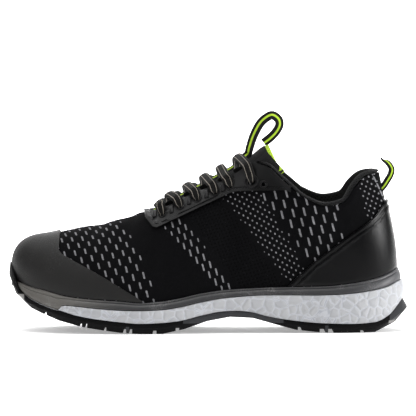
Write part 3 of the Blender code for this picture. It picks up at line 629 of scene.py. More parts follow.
def joined(name: str, parts: Sequence[Piece]) -> Piece:
    """Joins separate parts into one piece.

    Args:
        name: the piece's name.
        parts: its parts.

    Returns:
        The piece.
    """
    activate(parts[0])
    for part in parts:
        part.select_set(True)
    bpy.ops.object.join()
    piece = bpy.context.object
    piece.name = name
    return piece


def spread_uv(first: Array, second: Array) -> Array:
    """UV of a loft from a column for its sections and a row for the points round them."""
    return np.stack(np.broadcast_arrays(first, second), axis=2)


def loft(name: str, sections: Array, wrap: Array) -> Piece:
    """A solid through closed sections of equal point counts, with flat ends.

    Args:
        name: the piece's name.
        sections: sections by points by coordinates.
        wrap: UV of each section point; its last column is the seam's second UV.

    Returns:
        The piece with its UV map.
    """
    bm = bmesh.new()
    layer = bm.loops.layers.uv.new("wrap")
    rows = [[bm.verts.new(point) for point in section] for section in sections]
    count, around = len(rows), len(rows[0])
    for i in range(count - 1):
        for k in range(around):
            m = (k + 1) % around
            face = bm.faces.new([rows[i][k], rows[i][m], rows[i + 1][m], rows[i + 1][k]])
            for loop, (a, b) in zip(face.loops, ((i, k), (i, k + 1), (i + 1, k + 1), (i + 1, k))):
                loop[layer].uv = wrap[a, b]
    for row, a in ((rows[0][::-1], 0), (rows[-1], count - 1)):
        face = bm.faces.new(row)
        for loop in face.loops:
            loop[layer].uv = wrap[a, 0]
    bmesh.ops.recalc_face_normals(bm, faces=bm.faces)
    return new_object(name, bm)


@dataclass(frozen=True)
class Colour:
    """A linear colour."""

    red: float
    green: float
    blue: float

    def rgba(self) -> tuple[float, float, float, float]:
        """The colour with full alpha."""
        return (self.red, self.green, self.blue, 1.0)


BLACK = Colour(0.0042, 0.0042, 0.0048)
SOFT_BLACK = Colour(0.016, 0.016, 0.0165)
GUARD_GREY = Colour(0.0070, 0.0067, 0.0064)
YARN_GREY = Colour(0.27, 0.27, 0.285)
SILVER = Colour(0.34, 0.31, 0.27)
LIME = Colour(0.58, 0.85, 0.05)
RIM_WARM = Colour(0.112, 0.106, 0.096)
RIM_DARK = Colour(0.030, 0.030, 0.032)
RIM_COOL = Colour(0.066, 0.066, 0.072)
FOAM_WHITE = Colour(0.445, 0.450, 0.465)
FOAM_RIDGE = Colour(0.62, 0.64, 0.68)
FOAM_SHADE = Colour(0.27, 0.285, 0.34)
# grey of the real ribs in the outsole's grooves, also painted highlight on its arch facet and heel kick
SOLE_GREY_AND_HIGHLIGHT = Colour(0.040, 0.041, 0.044)
WINDOW_GREY = Colour(0.25, 0.245, 0.235)
PORE_BLACK = Colour(0.0008, 0.0008, 0.0008)
GAP_BLACK = Colour(0.0015, 0.0015, 0.002)
# painted shade for the hollows between the ribs of tape and lace
RIB_HOLLOW_SHADE = Colour(0.002, 0.002, 0.002)
DUST_GREY = Colour(0.34, 0.34, 0.34)
YARN_EDGE = 0.00018


class Wires:
    """A short way to add and join nodes in one tree."""

    def __init__(self, tree: bpy.types.NodeTree) -> None:
        """Keeps the tree."""
        self.tree = tree

    def add(self, kind: str, **settings: object) -> bpy.types.Node:
        """Adds a node and sets its properties.

        Args:
            kind: type of the node.
            settings: properties of the node.

        Returns:
            The new node.
        """
        node = self.tree.nodes.new(kind)
        for key, value in settings.items():
            setattr(node, key, value)
        return node

    def feed(self, socket: Socket, value: object) -> None:
        """Joins an output to a socket, or sets the socket to a constant.

        Args:
            socket: the input.
            value: a socket, number or colour.
        """
        if isinstance(value, Socket):
            self.tree.links.new(value, socket)
        else:
            socket.default_value = value.rgba() if isinstance(value, Colour) else value

    def fill(self, node: bpy.types.Node, **values: object) -> bpy.types.Node:
        """Feeds a node's inputs by name, with _ for each space in it.

        Args:
            node: the node.
            values: sockets, numbers or colours.

        Returns:
            The same node.
        """
        for name, value in values.items():
            self.feed(node.inputs[name.replace("_", " ")], value)
        return node

    def math(self, operation: str, *values: object, clamp: bool = False) -> Socket:
        """One math node on sockets or numbers.

        Args:
            operation: what it does.
            values: sockets or numbers.
            clamp: whether the result stays between 0 and 1.

        Returns:
            The result.
        """
        node = self.add("ShaderNodeMath", operation=operation, use_clamp=clamp)
        for socket, value in zip(node.inputs, values):
            self.feed(socket, value)
        return node.outputs[0]

    def vector(self, operation: str, *values: object) -> Socket:
        """One vector math node.

        Args:
            operation: what it does.
            values: sockets, vectors or numbers that it works on.

        Returns:
            Its result, a number for a dot product.
        """
        node = self.add("ShaderNodeVectorMath", operation=operation)
        for socket, value in zip(node.inputs, values):
            self.feed(socket, value)
        return node.outputs["Value" if operation == "DOT_PRODUCT" else "Vector"]

    def times(self, first: object, second: object) -> Socket:
        """Product of two values."""
        return self.math("MULTIPLY", first, second)

    def plus(self, first: object, second: object) -> Socket:
        """Sum of two values."""
        return self.math("ADD", first, second)

    def minus(self, first: object, second: object) -> Socket:
        """Difference of two values."""
        return self.math("SUBTRACT", first, second)

    def more(self, first: object, second: object) -> Socket:
        """The larger of two values."""
        return self.math("MAXIMUM", first, second)

    def span(self, value: object, low: float, high: float, soft: float) -> Socket:
        """1 between two values and 0 outside, with soft borders inside."""
        return self.times(self.ramp(value, low, low + soft), self.ramp(value, high, high - soft))

    def ramp(
        self, value: object, low: object, high: object, out: tuple[float, float] = (0.0, 1.0)
    ) -> Socket:
        """Eases a value from one range to another, clamped.

        Args:
            value: a socket, number or colour.
            low: input that gives the first value.
            high: input that gives the second value.
            out: values at the two ends.

        Returns:
            The result.
        """
        node = self.add("ShaderNodeMapRange", interpolation_type="SMOOTHSTEP", clamp=True)
        self.fill(node, Value=value, From_Min=low, From_Max=high, To_Min=out[0], To_Max=out[1])
        return node.outputs["Result"]

    def mix(self, factor: object, first: object, second: object) -> Socket:
        """Mixes two colours.

        Args:
            factor: how much of the second.
            first: colour or socket at 0.
            second: colour or socket at 1.

        Returns:
            The mixed colour.
        """
        node = self.add("ShaderNodeMix", data_type="RGBA")
        for index, value in ((0, factor), (6, first), (7, second)):
            self.feed(node.inputs[index], value)
        return node.outputs[2]

    def noise(self, vector: object, scale: float, detail: float = 3.0, rough: float = 0.5) -> Socket:
        """Noise of one scale, in cycles per metre.

        Args:
            vector: the place, as a socket.
            scale: cells a metre.
            detail: number of octaves.
            rough: weight of the small octaves.

        Returns:
            The noise as a number.
        """
        node = self.add("ShaderNodeTexNoise")
        self.fill(node, Vector=vector, Scale=scale, Detail=detail, Roughness=rough)
        return node.outputs["Fac"]

    def separate(self, vector: object) -> tuple[Socket, ...]:
        """Takes a vector apart.

        Args:
            vector: the place, as a socket.

        Returns:
            X, Y and Z.
        """
        node = self.add("ShaderNodeSeparateXYZ")
        self.feed(node.inputs[0], vector)
        return tuple(node.outputs)

    def group(self, tree: bpy.types.NodeTree, **values: object) -> bpy.types.Node:
        """Places a node group and feeds its inputs by name."""
        return self.fill(self.add("ShaderNodeGroup", node_tree=tree), **values)


def new_group(
    name: str, inputs: Sequence[tuple[str, str, object]], outputs: Sequence[tuple[str, str]]
) -> tuple[bpy.types.NodeTree, Wires, bpy.types.Node, bpy.types.Node]:
    """Starts a shader node group.

    Args:
        name: the group's name.
        inputs: names, socket kinds and defaults.
        outputs: names and socket kinds.

    Returns:
        The tree, its wires and its input and output nodes.
    """
    tree = bpy.data.node_groups.new(name, "ShaderNodeTree")
    for label, kind, default in inputs:
        socket = tree.interface.new_socket(label, in_out="INPUT", socket_type=f"NodeSocket{kind}")
        if default is not None:
            socket.default_value = default
    for label, kind in outputs:
        tree.interface.new_socket(label, in_out="OUTPUT", socket_type=f"NodeSocket{kind}")
    wires = Wires(tree)
    return tree, wires, wires.add("NodeGroupInput"), wires.add("NodeGroupOutput")


@cache
def weave_group() -> bpy.types.NodeTree:
    """Fine rows of loops, as on knit, webbing and mesh: a height and a mask of the gaps.

    Returns:
        The node group.
    """
    tree, w, given, out = new_group(
        "loop_weave",
        [("Vector", "Vector", None), ("Pitch", "Float", 0.0011), ("Rise", "Float", 1.0)],
        [("Height", "Float"), ("Gap", "Float")],
    )
    across, along, _ = w.separate(given.outputs["Vector"])
    turn = 2 * math.pi
    first = w.math("DIVIDE", w.times(across, turn), given.outputs["Pitch"])
    second = w.math("DIVIDE", w.times(along, turn), given.outputs["Pitch"])
    ribs = w.math("SINE", w.plus(first, w.times(second, 0.5)))
    rows = w.math("SINE", w.minus(w.times(second, 0.9), w.times(first, 0.5)))
    height = w.math("MULTIPLY_ADD", w.times(ribs, rows), 0.5, 0.5)
    w.feed(out.inputs["Height"], w.times(height, given.outputs["Rise"]))
    w.feed(out.inputs["Gap"], w.ramp(height, 0.30, 0.05))
    return tree


@cache
def lattice_group() -> bpy.types.NodeTree:
    """A slanting lattice of dashes or dots that shrink away at the border of their zone.

    Returns:
        The node group.
    """
    tree, w, given, out = new_group(
        "dash_lattice",
        [
            ("Vector", "Vector", None),
            ("Start", "Vector", (0.0, 0.0, 0.0)),
            ("Step", "Vector", (0.0078, 0.0016, 0.0)),
            ("Fall", "Vector", (0.0052, -0.0060, 0.0)),
            ("Rear Point", "Vector", (0.0, 0.0, 0.0)),
            ("Rear Normal", "Vector", (1.0, 0.0, 0.0)),
            ("Front Point", "Vector", (0.0, 0.0, 0.0)),
            ("Front Normal", "Vector", (-1.0, 0.0, 0.0)),
            ("Length", "Float", 0.005),
            ("Width", "Float", 0.0013),
            ("Slant", "Float", 0.24),
            ("Fade", "Float", 0.002),
        ],
        [("Mask", "Float")],
    )

    start, step, fall, fade, length, width = (
        given.outputs[name] for name in ("Start", "Step", "Fall", "Fade", "Length", "Width")
    )
    place = w.vector("SUBTRACT", given.outputs["Vector"], start)
    step_x, step_y, _ = w.separate(step)
    fall_x, fall_y, _ = w.separate(fall)
    x, y, _ = w.separate(place)
    whole = w.minus(w.times(step_x, fall_y), w.times(fall_x, step_y))
    i = w.math("DIVIDE", w.minus(w.times(x, fall_y), w.times(fall_x, y)), whole)
    j = w.math("DIVIDE", w.minus(w.times(step_x, y), w.times(x, step_y)), whole)
    i, j = w.math("ROUND", i), w.math("ROUND", j)
    centre = w.vector("ADD", w.vector("MULTIPLY", step, i), w.vector("MULTIPLY", fall, j))
    local_x, local_y, _ = w.separate(w.vector("SUBTRACT", place, centre))
    insides = []
    for line in ("Rear", "Front"):
        away = w.vector("SUBTRACT", w.vector("ADD", centre, start), given.outputs[f"{line} Point"])
        insides.append(w.vector("DOT_PRODUCT", away, given.outputs[f"{line} Normal"]))
    inside = w.math("MINIMUM", *insides)
    size = w.ramp(w.math("DIVIDE", inside, fade), -0.4, 1.0)
    upright = w.math("MULTIPLY_ADD", local_y, given.outputs["Slant"], local_x)
    half = w.times(w.times(w.minus(length, width), 0.5), size)
    past = w.more(w.minus(w.math("ABSOLUTE", local_y), half), 0.0)
    away = w.math("SQRT", w.plus(w.times(upright, upright), w.times(past, past)))
    radius = w.times(w.times(width, 0.5), w.math("MULTIPLY_ADD", size, 0.5, 0.5))
    mask = w.ramp(w.minus(radius, away), -YARN_EDGE, YARN_EDGE)
    shown = w.math("GREATER_THAN", inside, 0.0)
    w.feed(out.inputs["Mask"], w.times(mask, shown))
    return tree


@cache
def wear_group() -> bpy.types.NodeTree:
    """Faint scuffs, dust and handling marks: a mask and a change of roughness.

    Returns:
        The node group.
    """
    tree, w, given, out = new_group(
        "light_wear",
        [("Vector", "Vector", None), ("Amount", "Float", 0.3)],
        [("Mask", "Float"), ("Roughness", "Float")],
    )
    broad = w.noise(given.outputs["Vector"], 38.0, 4.0, 0.6)
    fine = w.noise(given.outputs["Vector"], 900.0, 2.0, 0.6)
    mask = w.times(w.ramp(broad, 0.48, 0.72), w.ramp(fine, 0.42, 0.66))
    w.feed(out.inputs["Mask"], w.times(mask, given.outputs["Amount"]))
    w.feed(out.inputs["Roughness"], w.times(w.minus(broad, 0.5), given.outputs["Amount"]))
    return tree


@cache
def grain_group() -> bpy.types.NodeTree:
    """Moulded grain of rubber and plastic, as a height.

    Returns:
        The node group.
    """
    tree, w, given, out = new_group(
        "moulded_grain",
        [("Vector", "Vector", None), ("Scale", "Float", 900.0)],
        [("Height", "Float")],
    )
    cells = w.add("ShaderNodeTexVoronoi", feature="DISTANCE_TO_EDGE")
    w.fill(cells, Vector=given.outputs["Vector"], Scale=given.outputs["Scale"])
    soft = w.noise(given.outputs["Vector"], 2200.0, 2.0)
    height = w.plus(w.ramp(cells.outputs["Distance"], 0.0, 0.22), w.times(soft, 0.4))
    w.feed(out.inputs["Height"], height)
    return tree


@dataclass(frozen=True)
class Finish:
    """A finish of the shoe; each kind adds its own nodes to the shader."""

    name: str
    slot: str
    colour: Colour
    roughness: float = 0.6
    sheen: float = 0.0
    specular: float = 0.5

    def begin(self) -> tuple[bpy.types.Material, Wires, bpy.types.Node]:
        """Makes the material with its constants on the shader's own sockets.

        Returns:
            The material, its helper and its shader.
        """
        material = bpy.data.materials.new(self.name)
        material.use_nodes = True
        wires = Wires(material.node_tree)
        shader = wires.fill(
            material.node_tree.nodes["Principled BSDF"],
            Base_Color=self.colour,
            Roughness=self.roughness,
            Sheen_Weight=self.sheen,
            Sheen_Roughness=0.5,
            Specular_IOR_Level=self.specular,
        )
        return material, wires, shader

    def bump(
        self, wires: Wires, shader: bpy.types.Node, height: object, distance: float, strength: float
    ) -> None:
        """Feeds a height to the shader's normal.

        Args:
            wires: the node tree's helper.
            shader: the shader node.
            height: the relief, 1 at its full height.
            distance: height of the relief in metres.
            strength: share of it that shows.
        """
        node = wires.fill(wires.add("ShaderNodeBump"), Distance=distance, Strength=strength, Height=height)
        wires.feed(shader.inputs["Normal"], node.outputs[0])

    def place(self, wires: Wires) -> Socket:
        """Object coordinates."""
        return wires.add("ShaderNodeTexCoord").outputs["Object"]

    def wrap(self, wires: Wires) -> Socket:
        """The piece's own UV map, in metres along and up its surface."""
        return wires.add("ShaderNodeUVMap", uv_map="wrap").outputs[0]

    def material(self) -> bpy.types.Material:
        """The finished material."""
        return self.begin()[0]


@dataclass(frozen=True)
class DashZone:
    """One zone of light yarn on the knit, in metres along X and up the side."""

    start: tuple[float, float]
    step: tuple[float, float]
    fall: tuple[float, float]
    rear_line: tuple[tuple[float, float], tuple[float, float]]
    front_line: tuple[tuple[float, float], tuple[float, float]]
    length: float
    width: float = 0.0011
    slant: float = 0.24
    fade: float = 0.003

    @staticmethod
    def inwards(line: Route, sign: float) -> tuple[float, ...]:
        """Unit direction square to a border line, into the zone for the right sign.

        Args:
            line: two points of the line.
            sign: which side of it counts.

        Returns:
            The direction.
        """
        (x0, z0), (x1, z1) = line
        size = math.hypot(x1 - x0, z1 - z0)
        return (sign * (z0 - z1) / size, sign * (x1 - x0) / size, 0.0)

    def mask(self, wires: Wires, wrap: Socket) -> Socket:
        """The zone's dashes as a mask.

        Args:
            wires: the node tree's helper.
            wrap: the wrap map's place.

        Returns:
            1 on a dash, 0 off it.
        """
        node = wires.group(
            lattice_group(),
            Vector=wrap,
            Start=(*self.start, 0.0),
            Step=(*self.step, 0.0),
            Fall=(*self.fall, 0.0),
            Rear_Point=(*self.rear_line[0], 0.0),
            Rear_Normal=self.inwards(self.rear_line, -1.0),
            Front_Point=(*self.front_line[0], 0.0),
            Front_Normal=self.inwards(self.front_line, 1.0),
            Length=self.length,
            Width=self.width,
            Slant=self.slant,
            Fade=self.fade,
        )
        return node.outputs["Mask"]


PORES = (
    # small pores between the stripe over the waist and the dots
    DashZone((-0.0100, 0.0900), (0.0026, 0.0007), (0.0010, -0.0024),
             ((0.0060, 0.1060), (0.0540, 0.0400)), ((-0.0160, 0.0920), (0.0260, 0.0300)),
             0.0010, 0.0010, 0.0, 0.0010),
)

KNIT_ZONES = (
    # dashes over the vamp, behind the toe guard
    DashZone((-0.0950, 0.0780), (0.0078, 0.0016), (0.0052, -0.0062),
             ((-0.0600, 0.0850), (-0.0330, 0.0180)), ((-0.1150, 0.0850), (-0.1140, 0.0180)),
             0.0052, 0.0014),
    # diagonal stripe over the waist
    DashZone((-0.0180, 0.0660), (0.0053, 0.0021), (0.00475, -0.0055),
             ((-0.0160, 0.0840), (0.0220, 0.0300)), ((-0.0345, 0.0840), (0.0060, 0.0300)),
             0.0054, 0.0013),
    # dots below the top panel
    DashZone((0.0150, 0.1000), (0.0020, 0.0034), (0.0034, -0.0020),
             ((0.0400, 0.1060), (0.0720, 0.0500)), ((0.0085, 0.1060), (0.0580, 0.0400)),
             0.0015, 0.00115, 0.24, 0.0025),
    # long dashes below the collar
    DashZone((0.0425, 0.1026), (0.0083, 0.0015), (0.0067, -0.0068),
             ((0.1010, 0.1100), (0.1030, 0.0500)), ((0.0360, 0.1080), (0.0740, 0.0560)),
             0.0066, 0.0015, 0.25),
    # dots beside the heel
    DashZone((0.1150, 0.1100), (0.0011, 0.0037), (0.0033, -0.0021),
             ((0.1270, 0.1200), (0.1335, 0.0980)), ((0.1130, 0.1200), (0.1190, 0.0880)),
             0.0015, 0.00115, 0.24, 0.0015),
    # one row of dashes down the edge of the heel
    DashZone((0.1290, 0.1108), (0.0200, 0.0000), (0.0026, -0.0056),
             ((0.1300, 0.1200), (0.1383, 0.1020)), ((0.1230, 0.1200), (0.1313, 0.1020)),
             0.0048, 0.0012, 0.46, 0.0008),
)


@dataclass(frozen=True)
class Knit(Finish):
    """Black knit with dashes and dots of light yarn and rows of small pores."""

    zones: tuple[DashZone, ...] = ()
    pores: tuple[DashZone, ...] = ()
    pitch: float = 0.0012

    def material(self) -> bpy.types.Material:
        """Knit loops, pores between the zones and the light yarn.

        Returns:
            The material.
        """
        material, w, shader = self.begin()
        wrap = self.wrap(w)
        weave = w.group(weave_group(), Vector=wrap, Pitch=self.pitch)
        height = weave.outputs["Height"]
        colour = w.mix(weave.outputs["Gap"], self.colour, GAP_BLACK)
        if self.zones:
            yarn = self.zones[0].mask(w, wrap)
            for zone in self.zones[1:]:
                yarn = w.more(yarn, zone.mask(w, wrap))
            cloud = w.ramp(w.noise(wrap, 420.0, 2.0), 0.3, 0.75, (0.60, 1.0))
            colour = w.mix(w.times(yarn, cloud), colour, YARN_GREY)
            height = w.math("MULTIPLY_ADD", yarn, 1.2, height)
        for zone in self.pores:
            pore = zone.mask(w, wrap)
            colour = w.mix(w.times(pore, 0.9), colour, PORE_BLACK)
            height = w.math("MULTIPLY_ADD", pore, -2.5, height)
        w.feed(shader.inputs["Base Color"], colour)
        self.bump(w, shader, height, 0.00035, 0.8)
        return material


@dataclass(frozen=True)
class MouldedRubber(Finish):
    """Matt rubber or satin film with a moulded grain, faint dust and handling marks."""

    grain: float = 900.0
    depth: float = 0.00006
    dust: float = 0.25

    def material(self) -> bpy.types.Material:
        """Grain by bump, marks by colour and roughness.

        Returns:
            The material.
        """
        material, w, shader = self.begin()
        place = self.place(w)
        wear = w.group(wear_group(), Vector=place, Amount=self.dust)
        grain = w.group(grain_group(), Vector=place, Scale=self.grain)
        pale = Colour(self.colour.red + 0.05, self.colour.green + 0.05, self.colour.blue + 0.05)
        w.feed(shader.inputs["Base Color"], w.mix(wear.outputs["Mask"], self.colour, pale))
        rough = w.math("ADD", wear.outputs["Roughness"], self.roughness, clamp=True)
        w.feed(shader.inputs["Roughness"], rough)
        self.bump(w, shader, grain.outputs["Height"], self.depth, 0.6)
        return material


@dataclass(frozen=True)
class BeadFoam(Finish):
    """White foam of fused beads: polygonal cells with pale ridges and thin joints between."""

    bead: float = 138.0
    sway: float = 0.0030

    def material(self) -> bpy.types.Material:
        """Cells by colour and bump, each bead of a slightly different white.

        Returns:
            The material.
        """
        material, w, shader = self.begin()
        place = self.place(w)
        warp = w.fill(w.add("ShaderNodeTexNoise"), Vector=place, Scale=120.0)
        swayed = w.vector("MULTIPLY_ADD", warp.outputs["Color"], (self.sway,) * 3, place)
        edges = w.add("ShaderNodeTexVoronoi", feature="DISTANCE_TO_EDGE")
        cells = w.add("ShaderNodeTexVoronoi", feature="F1")
        for node in (edges, cells):
            w.fill(node, Vector=swayed, Scale=self.bead, Randomness=0.8)
        off = edges.outputs["Distance"]
        ridge = w.ramp(off, 0.090, 0.040, (0.0, 0.55))
        joint = w.ramp(off, 0.040, 0.012)
        dome = w.ramp(off, 0.0, 0.30)
        tone = w.separate(cells.outputs["Color"])[0]
        base = w.mix(w.times(tone, 0.16), self.colour, FOAM_SHADE)
        seam = w.times(joint, w.ramp(w.noise(place, 260.0, 2.0), 0.35, 0.65, (0.10, 0.60)))
        w.feed(shader.inputs["Base Color"], w.mix(seam, w.mix(ridge, base, FOAM_RIDGE), FOAM_SHADE))
        self.bump(w, shader, w.plus(dome, w.times(tone, 0.15)), 0.0006, 0.8)
        return material


@dataclass(frozen=True)
class RimFinish(Finish):
    """Satin band whose grey runs from warm at the toe over dark at the waist to cool at the heel."""

    def material(self) -> bpy.types.Material:
        """A grey that changes along the shoe, with a faint grain.

        Returns:
            The material.
        """
        material, w, shader = self.begin()
        place = self.place(w)
        x, _, _ = w.separate(place)
        colour = w.mix(w.ramp(x, -0.120, -0.060), RIM_WARM, RIM_DARK)
        colour = w.mix(w.ramp(x, 0.090, 0.150), colour, RIM_COOL)
        wear = w.group(wear_group(), Vector=place, Amount=0.35)
        w.feed(shader.inputs["Base Color"], w.mix(wear.outputs["Mask"], colour, DUST_GREY))
        grain = w.group(grain_group(), Vector=place, Scale=1400.0)
        self.bump(w, shader, grain.outputs["Height"], 0.00004, 0.5)
        return material


@dataclass(frozen=True)
class Webbing(Finish):
    """Woven tape or lace with coloured lines that run along it.

    The UV map's first value runs along the tape in metres and its second goes once round it.
    """

    line: Colour = LIME
    lines: Route = ()
    rib: float = 0.0009
    turned: float = 0.0

    def material(self) -> bpy.types.Material:
        """Slanting ribs by bump, lines by colour, and painted shade in the hollows between ribs.

        Returns:
            The material.
        """
        material, w, shader = self.begin()
        along, around, _ = w.separate(self.wrap(w))
        mask: object = 0.0
        for centre, half in self.lines:
            off = w.math("ABSOLUTE", w.minus(around, centre))
            mask = w.more(mask, w.ramp(off, half * 1.15, half * 0.85))
        face_share = w.math("FRACT", w.times(around, 2.0))
        slope = w.times(w.math("ABSOLUTE", w.minus(face_share, 0.5)), self.turned)
        wave = w.math("SINE", w.times(w.plus(along, slope), 2 * math.pi / self.rib))
        cross = w.math("SINE", w.times(around, 2 * math.pi * 16))
        height = w.math("MULTIPLY_ADD", cross, 0.35, wave)
        # dark: painted shade, strongest where the ribs' relief is lowest
        dark = w.ramp(height, -0.2, -1.2, (0.0, 0.55))
        colour = w.mix(mask, self.colour, self.line)
        w.feed(shader.inputs["Base Color"], w.mix(dark, colour, RIB_HOLLOW_SHADE))
        self.bump(w, shader, height, 0.00022, 0.8)
        return material


@dataclass(frozen=True)
class SpacerMesh(Finish):
    """Open mesh cloth with small dark holes in staggered rows."""

    pitch: float = 0.0026
    hole: Colour = Colour(0.001, 0.001, 0.001)

    def material(self) -> bpy.types.Material:
        """Staggered holes between soft threads.

        Returns:
            The material.
        """
        material, w, shader = self.begin()
        along, up, _ = w.separate(self.wrap(w))
        turn = 2 * math.pi / self.pitch
        first = w.math("COSINE", w.times(w.plus(along, up), turn / 1.35))
        second = w.math("COSINE", w.times(w.minus(along, up), turn / 1.35))
        cells = w.times(w.plus(first, second), 0.5)
        hole = w.ramp(cells, 0.30, 0.62)
        threads = w.math("SINE", w.times(along, 2 * math.pi / 0.0006))
        w.feed(shader.inputs["Base Color"], w.mix(hole, self.colour, self.hole))
        height = w.minus(w.times(threads, 0.15), hole)
        self.bump(w, shader, height, 0.0005, 0.9)
        return material


KNIT = Knit("black_knit", "knit", BLACK, 0.85, specular=0.04, zones=KNIT_ZONES, pores=PORES)
PLAIN_KNIT = Knit("plain_knit", "knit", SOFT_BLACK, 0.85, sheen=0.03, specular=0.08, pitch=0.0014)
GUARD = MouldedRubber(
    "matt_guard", "guard_rubber", GUARD_GREY, 0.58, specular=0.30, grain=1300.0, depth=0.00008
)
FILM = MouldedRubber(
    "satin_film", "smooth_plastic", Colour(0.0014, 0.0014, 0.0018), 0.28,
    specular=0.15, grain=2400.0, depth=0.00002, dust=0.02,
)
STAY_FILM = MouldedRubber(
    "satin_stay", "smooth_plastic", Colour(0.0048, 0.0048, 0.0051), 0.38,
    specular=0.20, grain=2000.0, depth=0.00003, dust=0.03,
)
FOAM = BeadFoam("bead_foam", "foam", FOAM_WHITE, 0.55, specular=0.35)
RIM = RimFinish("rim_band", "rim_plastic", RIM_DARK, 0.45)
LACE = Webbing(
    "flat_lace", "lace", Colour(0.0085, 0.0082, 0.0078), 0.80, sheen=0.04, specular=0.10,
    line=SILVER, lines=tuple((centre, 0.012) for centre in (0.14, 0.36, 0.64, 0.86)),
    rib=0.0011, turned=0.004,
)
TAPE = Webbing(
    "lime_tape", "webbing", Colour(0.006, 0.006, 0.006), 0.75, sheen=0.03, specular=0.12,
    line=LIME, lines=((0.25, 0.055), (0.75, 0.055)), rib=0.0008,
)
COLLAR_MESH = SpacerMesh(
    "collar_mesh", "lining_cloth", Colour(0.0130, 0.0130, 0.0136), 0.85, sheen=0.04, specular=0.06
)
LIME_MESH = SpacerMesh(
    "lime_mesh", "lining_cloth", LIME, 0.75,
    sheen=0.1, specular=0.25, pitch=0.0022, hole=Colour(0.22, 0.36, 0.01),
)
INSOLE_CLOTH = SpacerMesh(
    "insole_cloth", "lining_cloth", Colour(0.014, 0.014, 0.015), 0.85,
    sheen=0.05, specular=0.1, pitch=0.0020,
)


@dataclass(frozen=True)
class OutsoleRubber(MouldedRubber):
    """Black rubber with real grey groove ribs, and grey painted highlight on the arch facet and heel kick.
    """

    ribs: tuple[float, ...] = (-0.0928, -0.0602, 0.0893)
    # arch and arch_low: span and lower edge of the grey painted highlight on the arch facet
    arch: tuple[float, float] = (-0.019, 0.057)
    arch_low: float = 0.0075
    windows: tuple[tuple[float, float, float, float], ...] = (
        (-0.1440, -0.1387, 0.0230, 0.0287), (0.1362, 0.1421, 0.0058, 0.0091),
    )
    # kick: corner behind and above which the heel kick gets grey painted highlight
    kick: tuple[float, float] = (0.1370, 0.0060)

    def material(self) -> bpy.types.Material:
        """The rubber with its grey ribs and windows, and the painted highlight on arch and kick, by
        colour.

        Returns:
            The material.
        """
        material = MouldedRubber.material(self)
        w = Wires(material.node_tree)
        shader = material.node_tree.nodes["Principled BSDF"]
        base = shader.inputs["Base Color"].links[0].from_socket
        x, _, z = w.separate(self.place(w))
        soft = 0.0006
        # mask: painted highlight on the arch facet and heel kick, joined with the real grey ribs
        mask = w.times(w.span(x, *self.arch, soft), w.ramp(z, self.arch_low, self.arch_low + soft))
        for rib in self.ribs:
            off = w.math("ABSOLUTE", w.minus(x, rib))
            here = w.times(w.ramp(off, 0.0014, 0.0011), w.ramp(z, 0.0060, 0.0055))
            mask = w.more(mask, here)
        behind, above = (w.ramp(part, start, start + soft) for part, start in zip((x, z), self.kick))
        mask = w.more(mask, w.times(behind, above))
        colour = w.mix(mask, base, SOLE_GREY_AND_HIGHLIGHT)
        for x0, x1, z0, z1 in self.windows:
            colour = w.mix(w.times(w.span(x, x0, x1, soft), w.span(z, z0, z1, soft)), colour, WINDOW_GREY)
        w.feed(shader.inputs["Base Color"], colour)
        return material


OUTSOLE = OutsoleRubber(
    "outsole_rubber", "outsole_rubber", Colour(0.0022, 0.0022, 0.0025), 0.55,
    specular=0.09, grain=1100.0, depth=0.00008, dust=0.06,
)
MIXED: dict[str, bpy.types.Material] = {}


def settle(piece: Piece, finish: Finish, degrees: float, node: str | None = None) -> Piece:
    """Shades and dresses a piece and puts it in place of its solid.

    Args:
        piece: the piece.
        finish: what it is made of.
        degrees: edges sharper than this stay sharp.
        node: the solid it replaces, if it has one.

    Returns:
        The same piece.
    """
    smooth(piece, degrees)
    if finish.name not in MIXED:
        MIXED[finish.name] = finish.material()
    piece.data.materials.clear()
    piece.data.materials.append(MIXED[finish.name])
    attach(piece, "root")
    if node:
        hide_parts(node)
    return piece


def column_feet(start: float, end: float, count: int) -> Array:
    """Stations of ribs, closer together round the toe and the heel."""
    low, high = math.acos(1 - 2 * start), math.acos(1 - 2 * end)
    return (1 - np.cos(np.linspace(low, high, count))) / 2


def side_lengths(points: Array) -> Array:
    """UV of a sheet: the distance round the shoe at mid height, and the height up each rib.

    Args:
        points: the sheet's points, columns by rows.

    Returns:
        UV in metres, with the first value close to X on the shoe's sides.
    """
    steps = np.linalg.norm(np.diff(points, axis=1), axis=2)
    up = np.concatenate([np.zeros((len(points), 1)), np.cumsum(steps, axis=1)], axis=1)
    up += points[:, :1, 2]
    return np.stack([points[..., 0], up], axis=2)


@dataclass(frozen=True)
class Fold:
    """A soft trough or ridge on both sides of the upper, in metres along X and Z."""

    start: tuple[float, float]
    end: tuple[float, float]
    depth: float
    width: float

    def push(self, x: Array, z: Array) -> Array:
        """How far the fold moves points outwards; a trough's depth is below zero.

        Args:
            x: places along the shoe.
            z: levels.

        Returns:
            The depth at each place.
        """
        (x0, z0), (x1, z1) = self.start, self.end
        run = np.array([x1 - x0, z1 - z0])
        size = np.linalg.norm(run)
        run /= size
        along = ((x - x0) * run[0] + (z - z0) * run[1]) / size
        off = (x - x0) * -run[1] + (z - z0) * run[0]
        ends = smooth_step((along + 0.15) / 0.30) * smooth_step((1.15 - along) / 0.30)
        return self.depth * np.exp(-((off / self.width) ** 2)) * ends


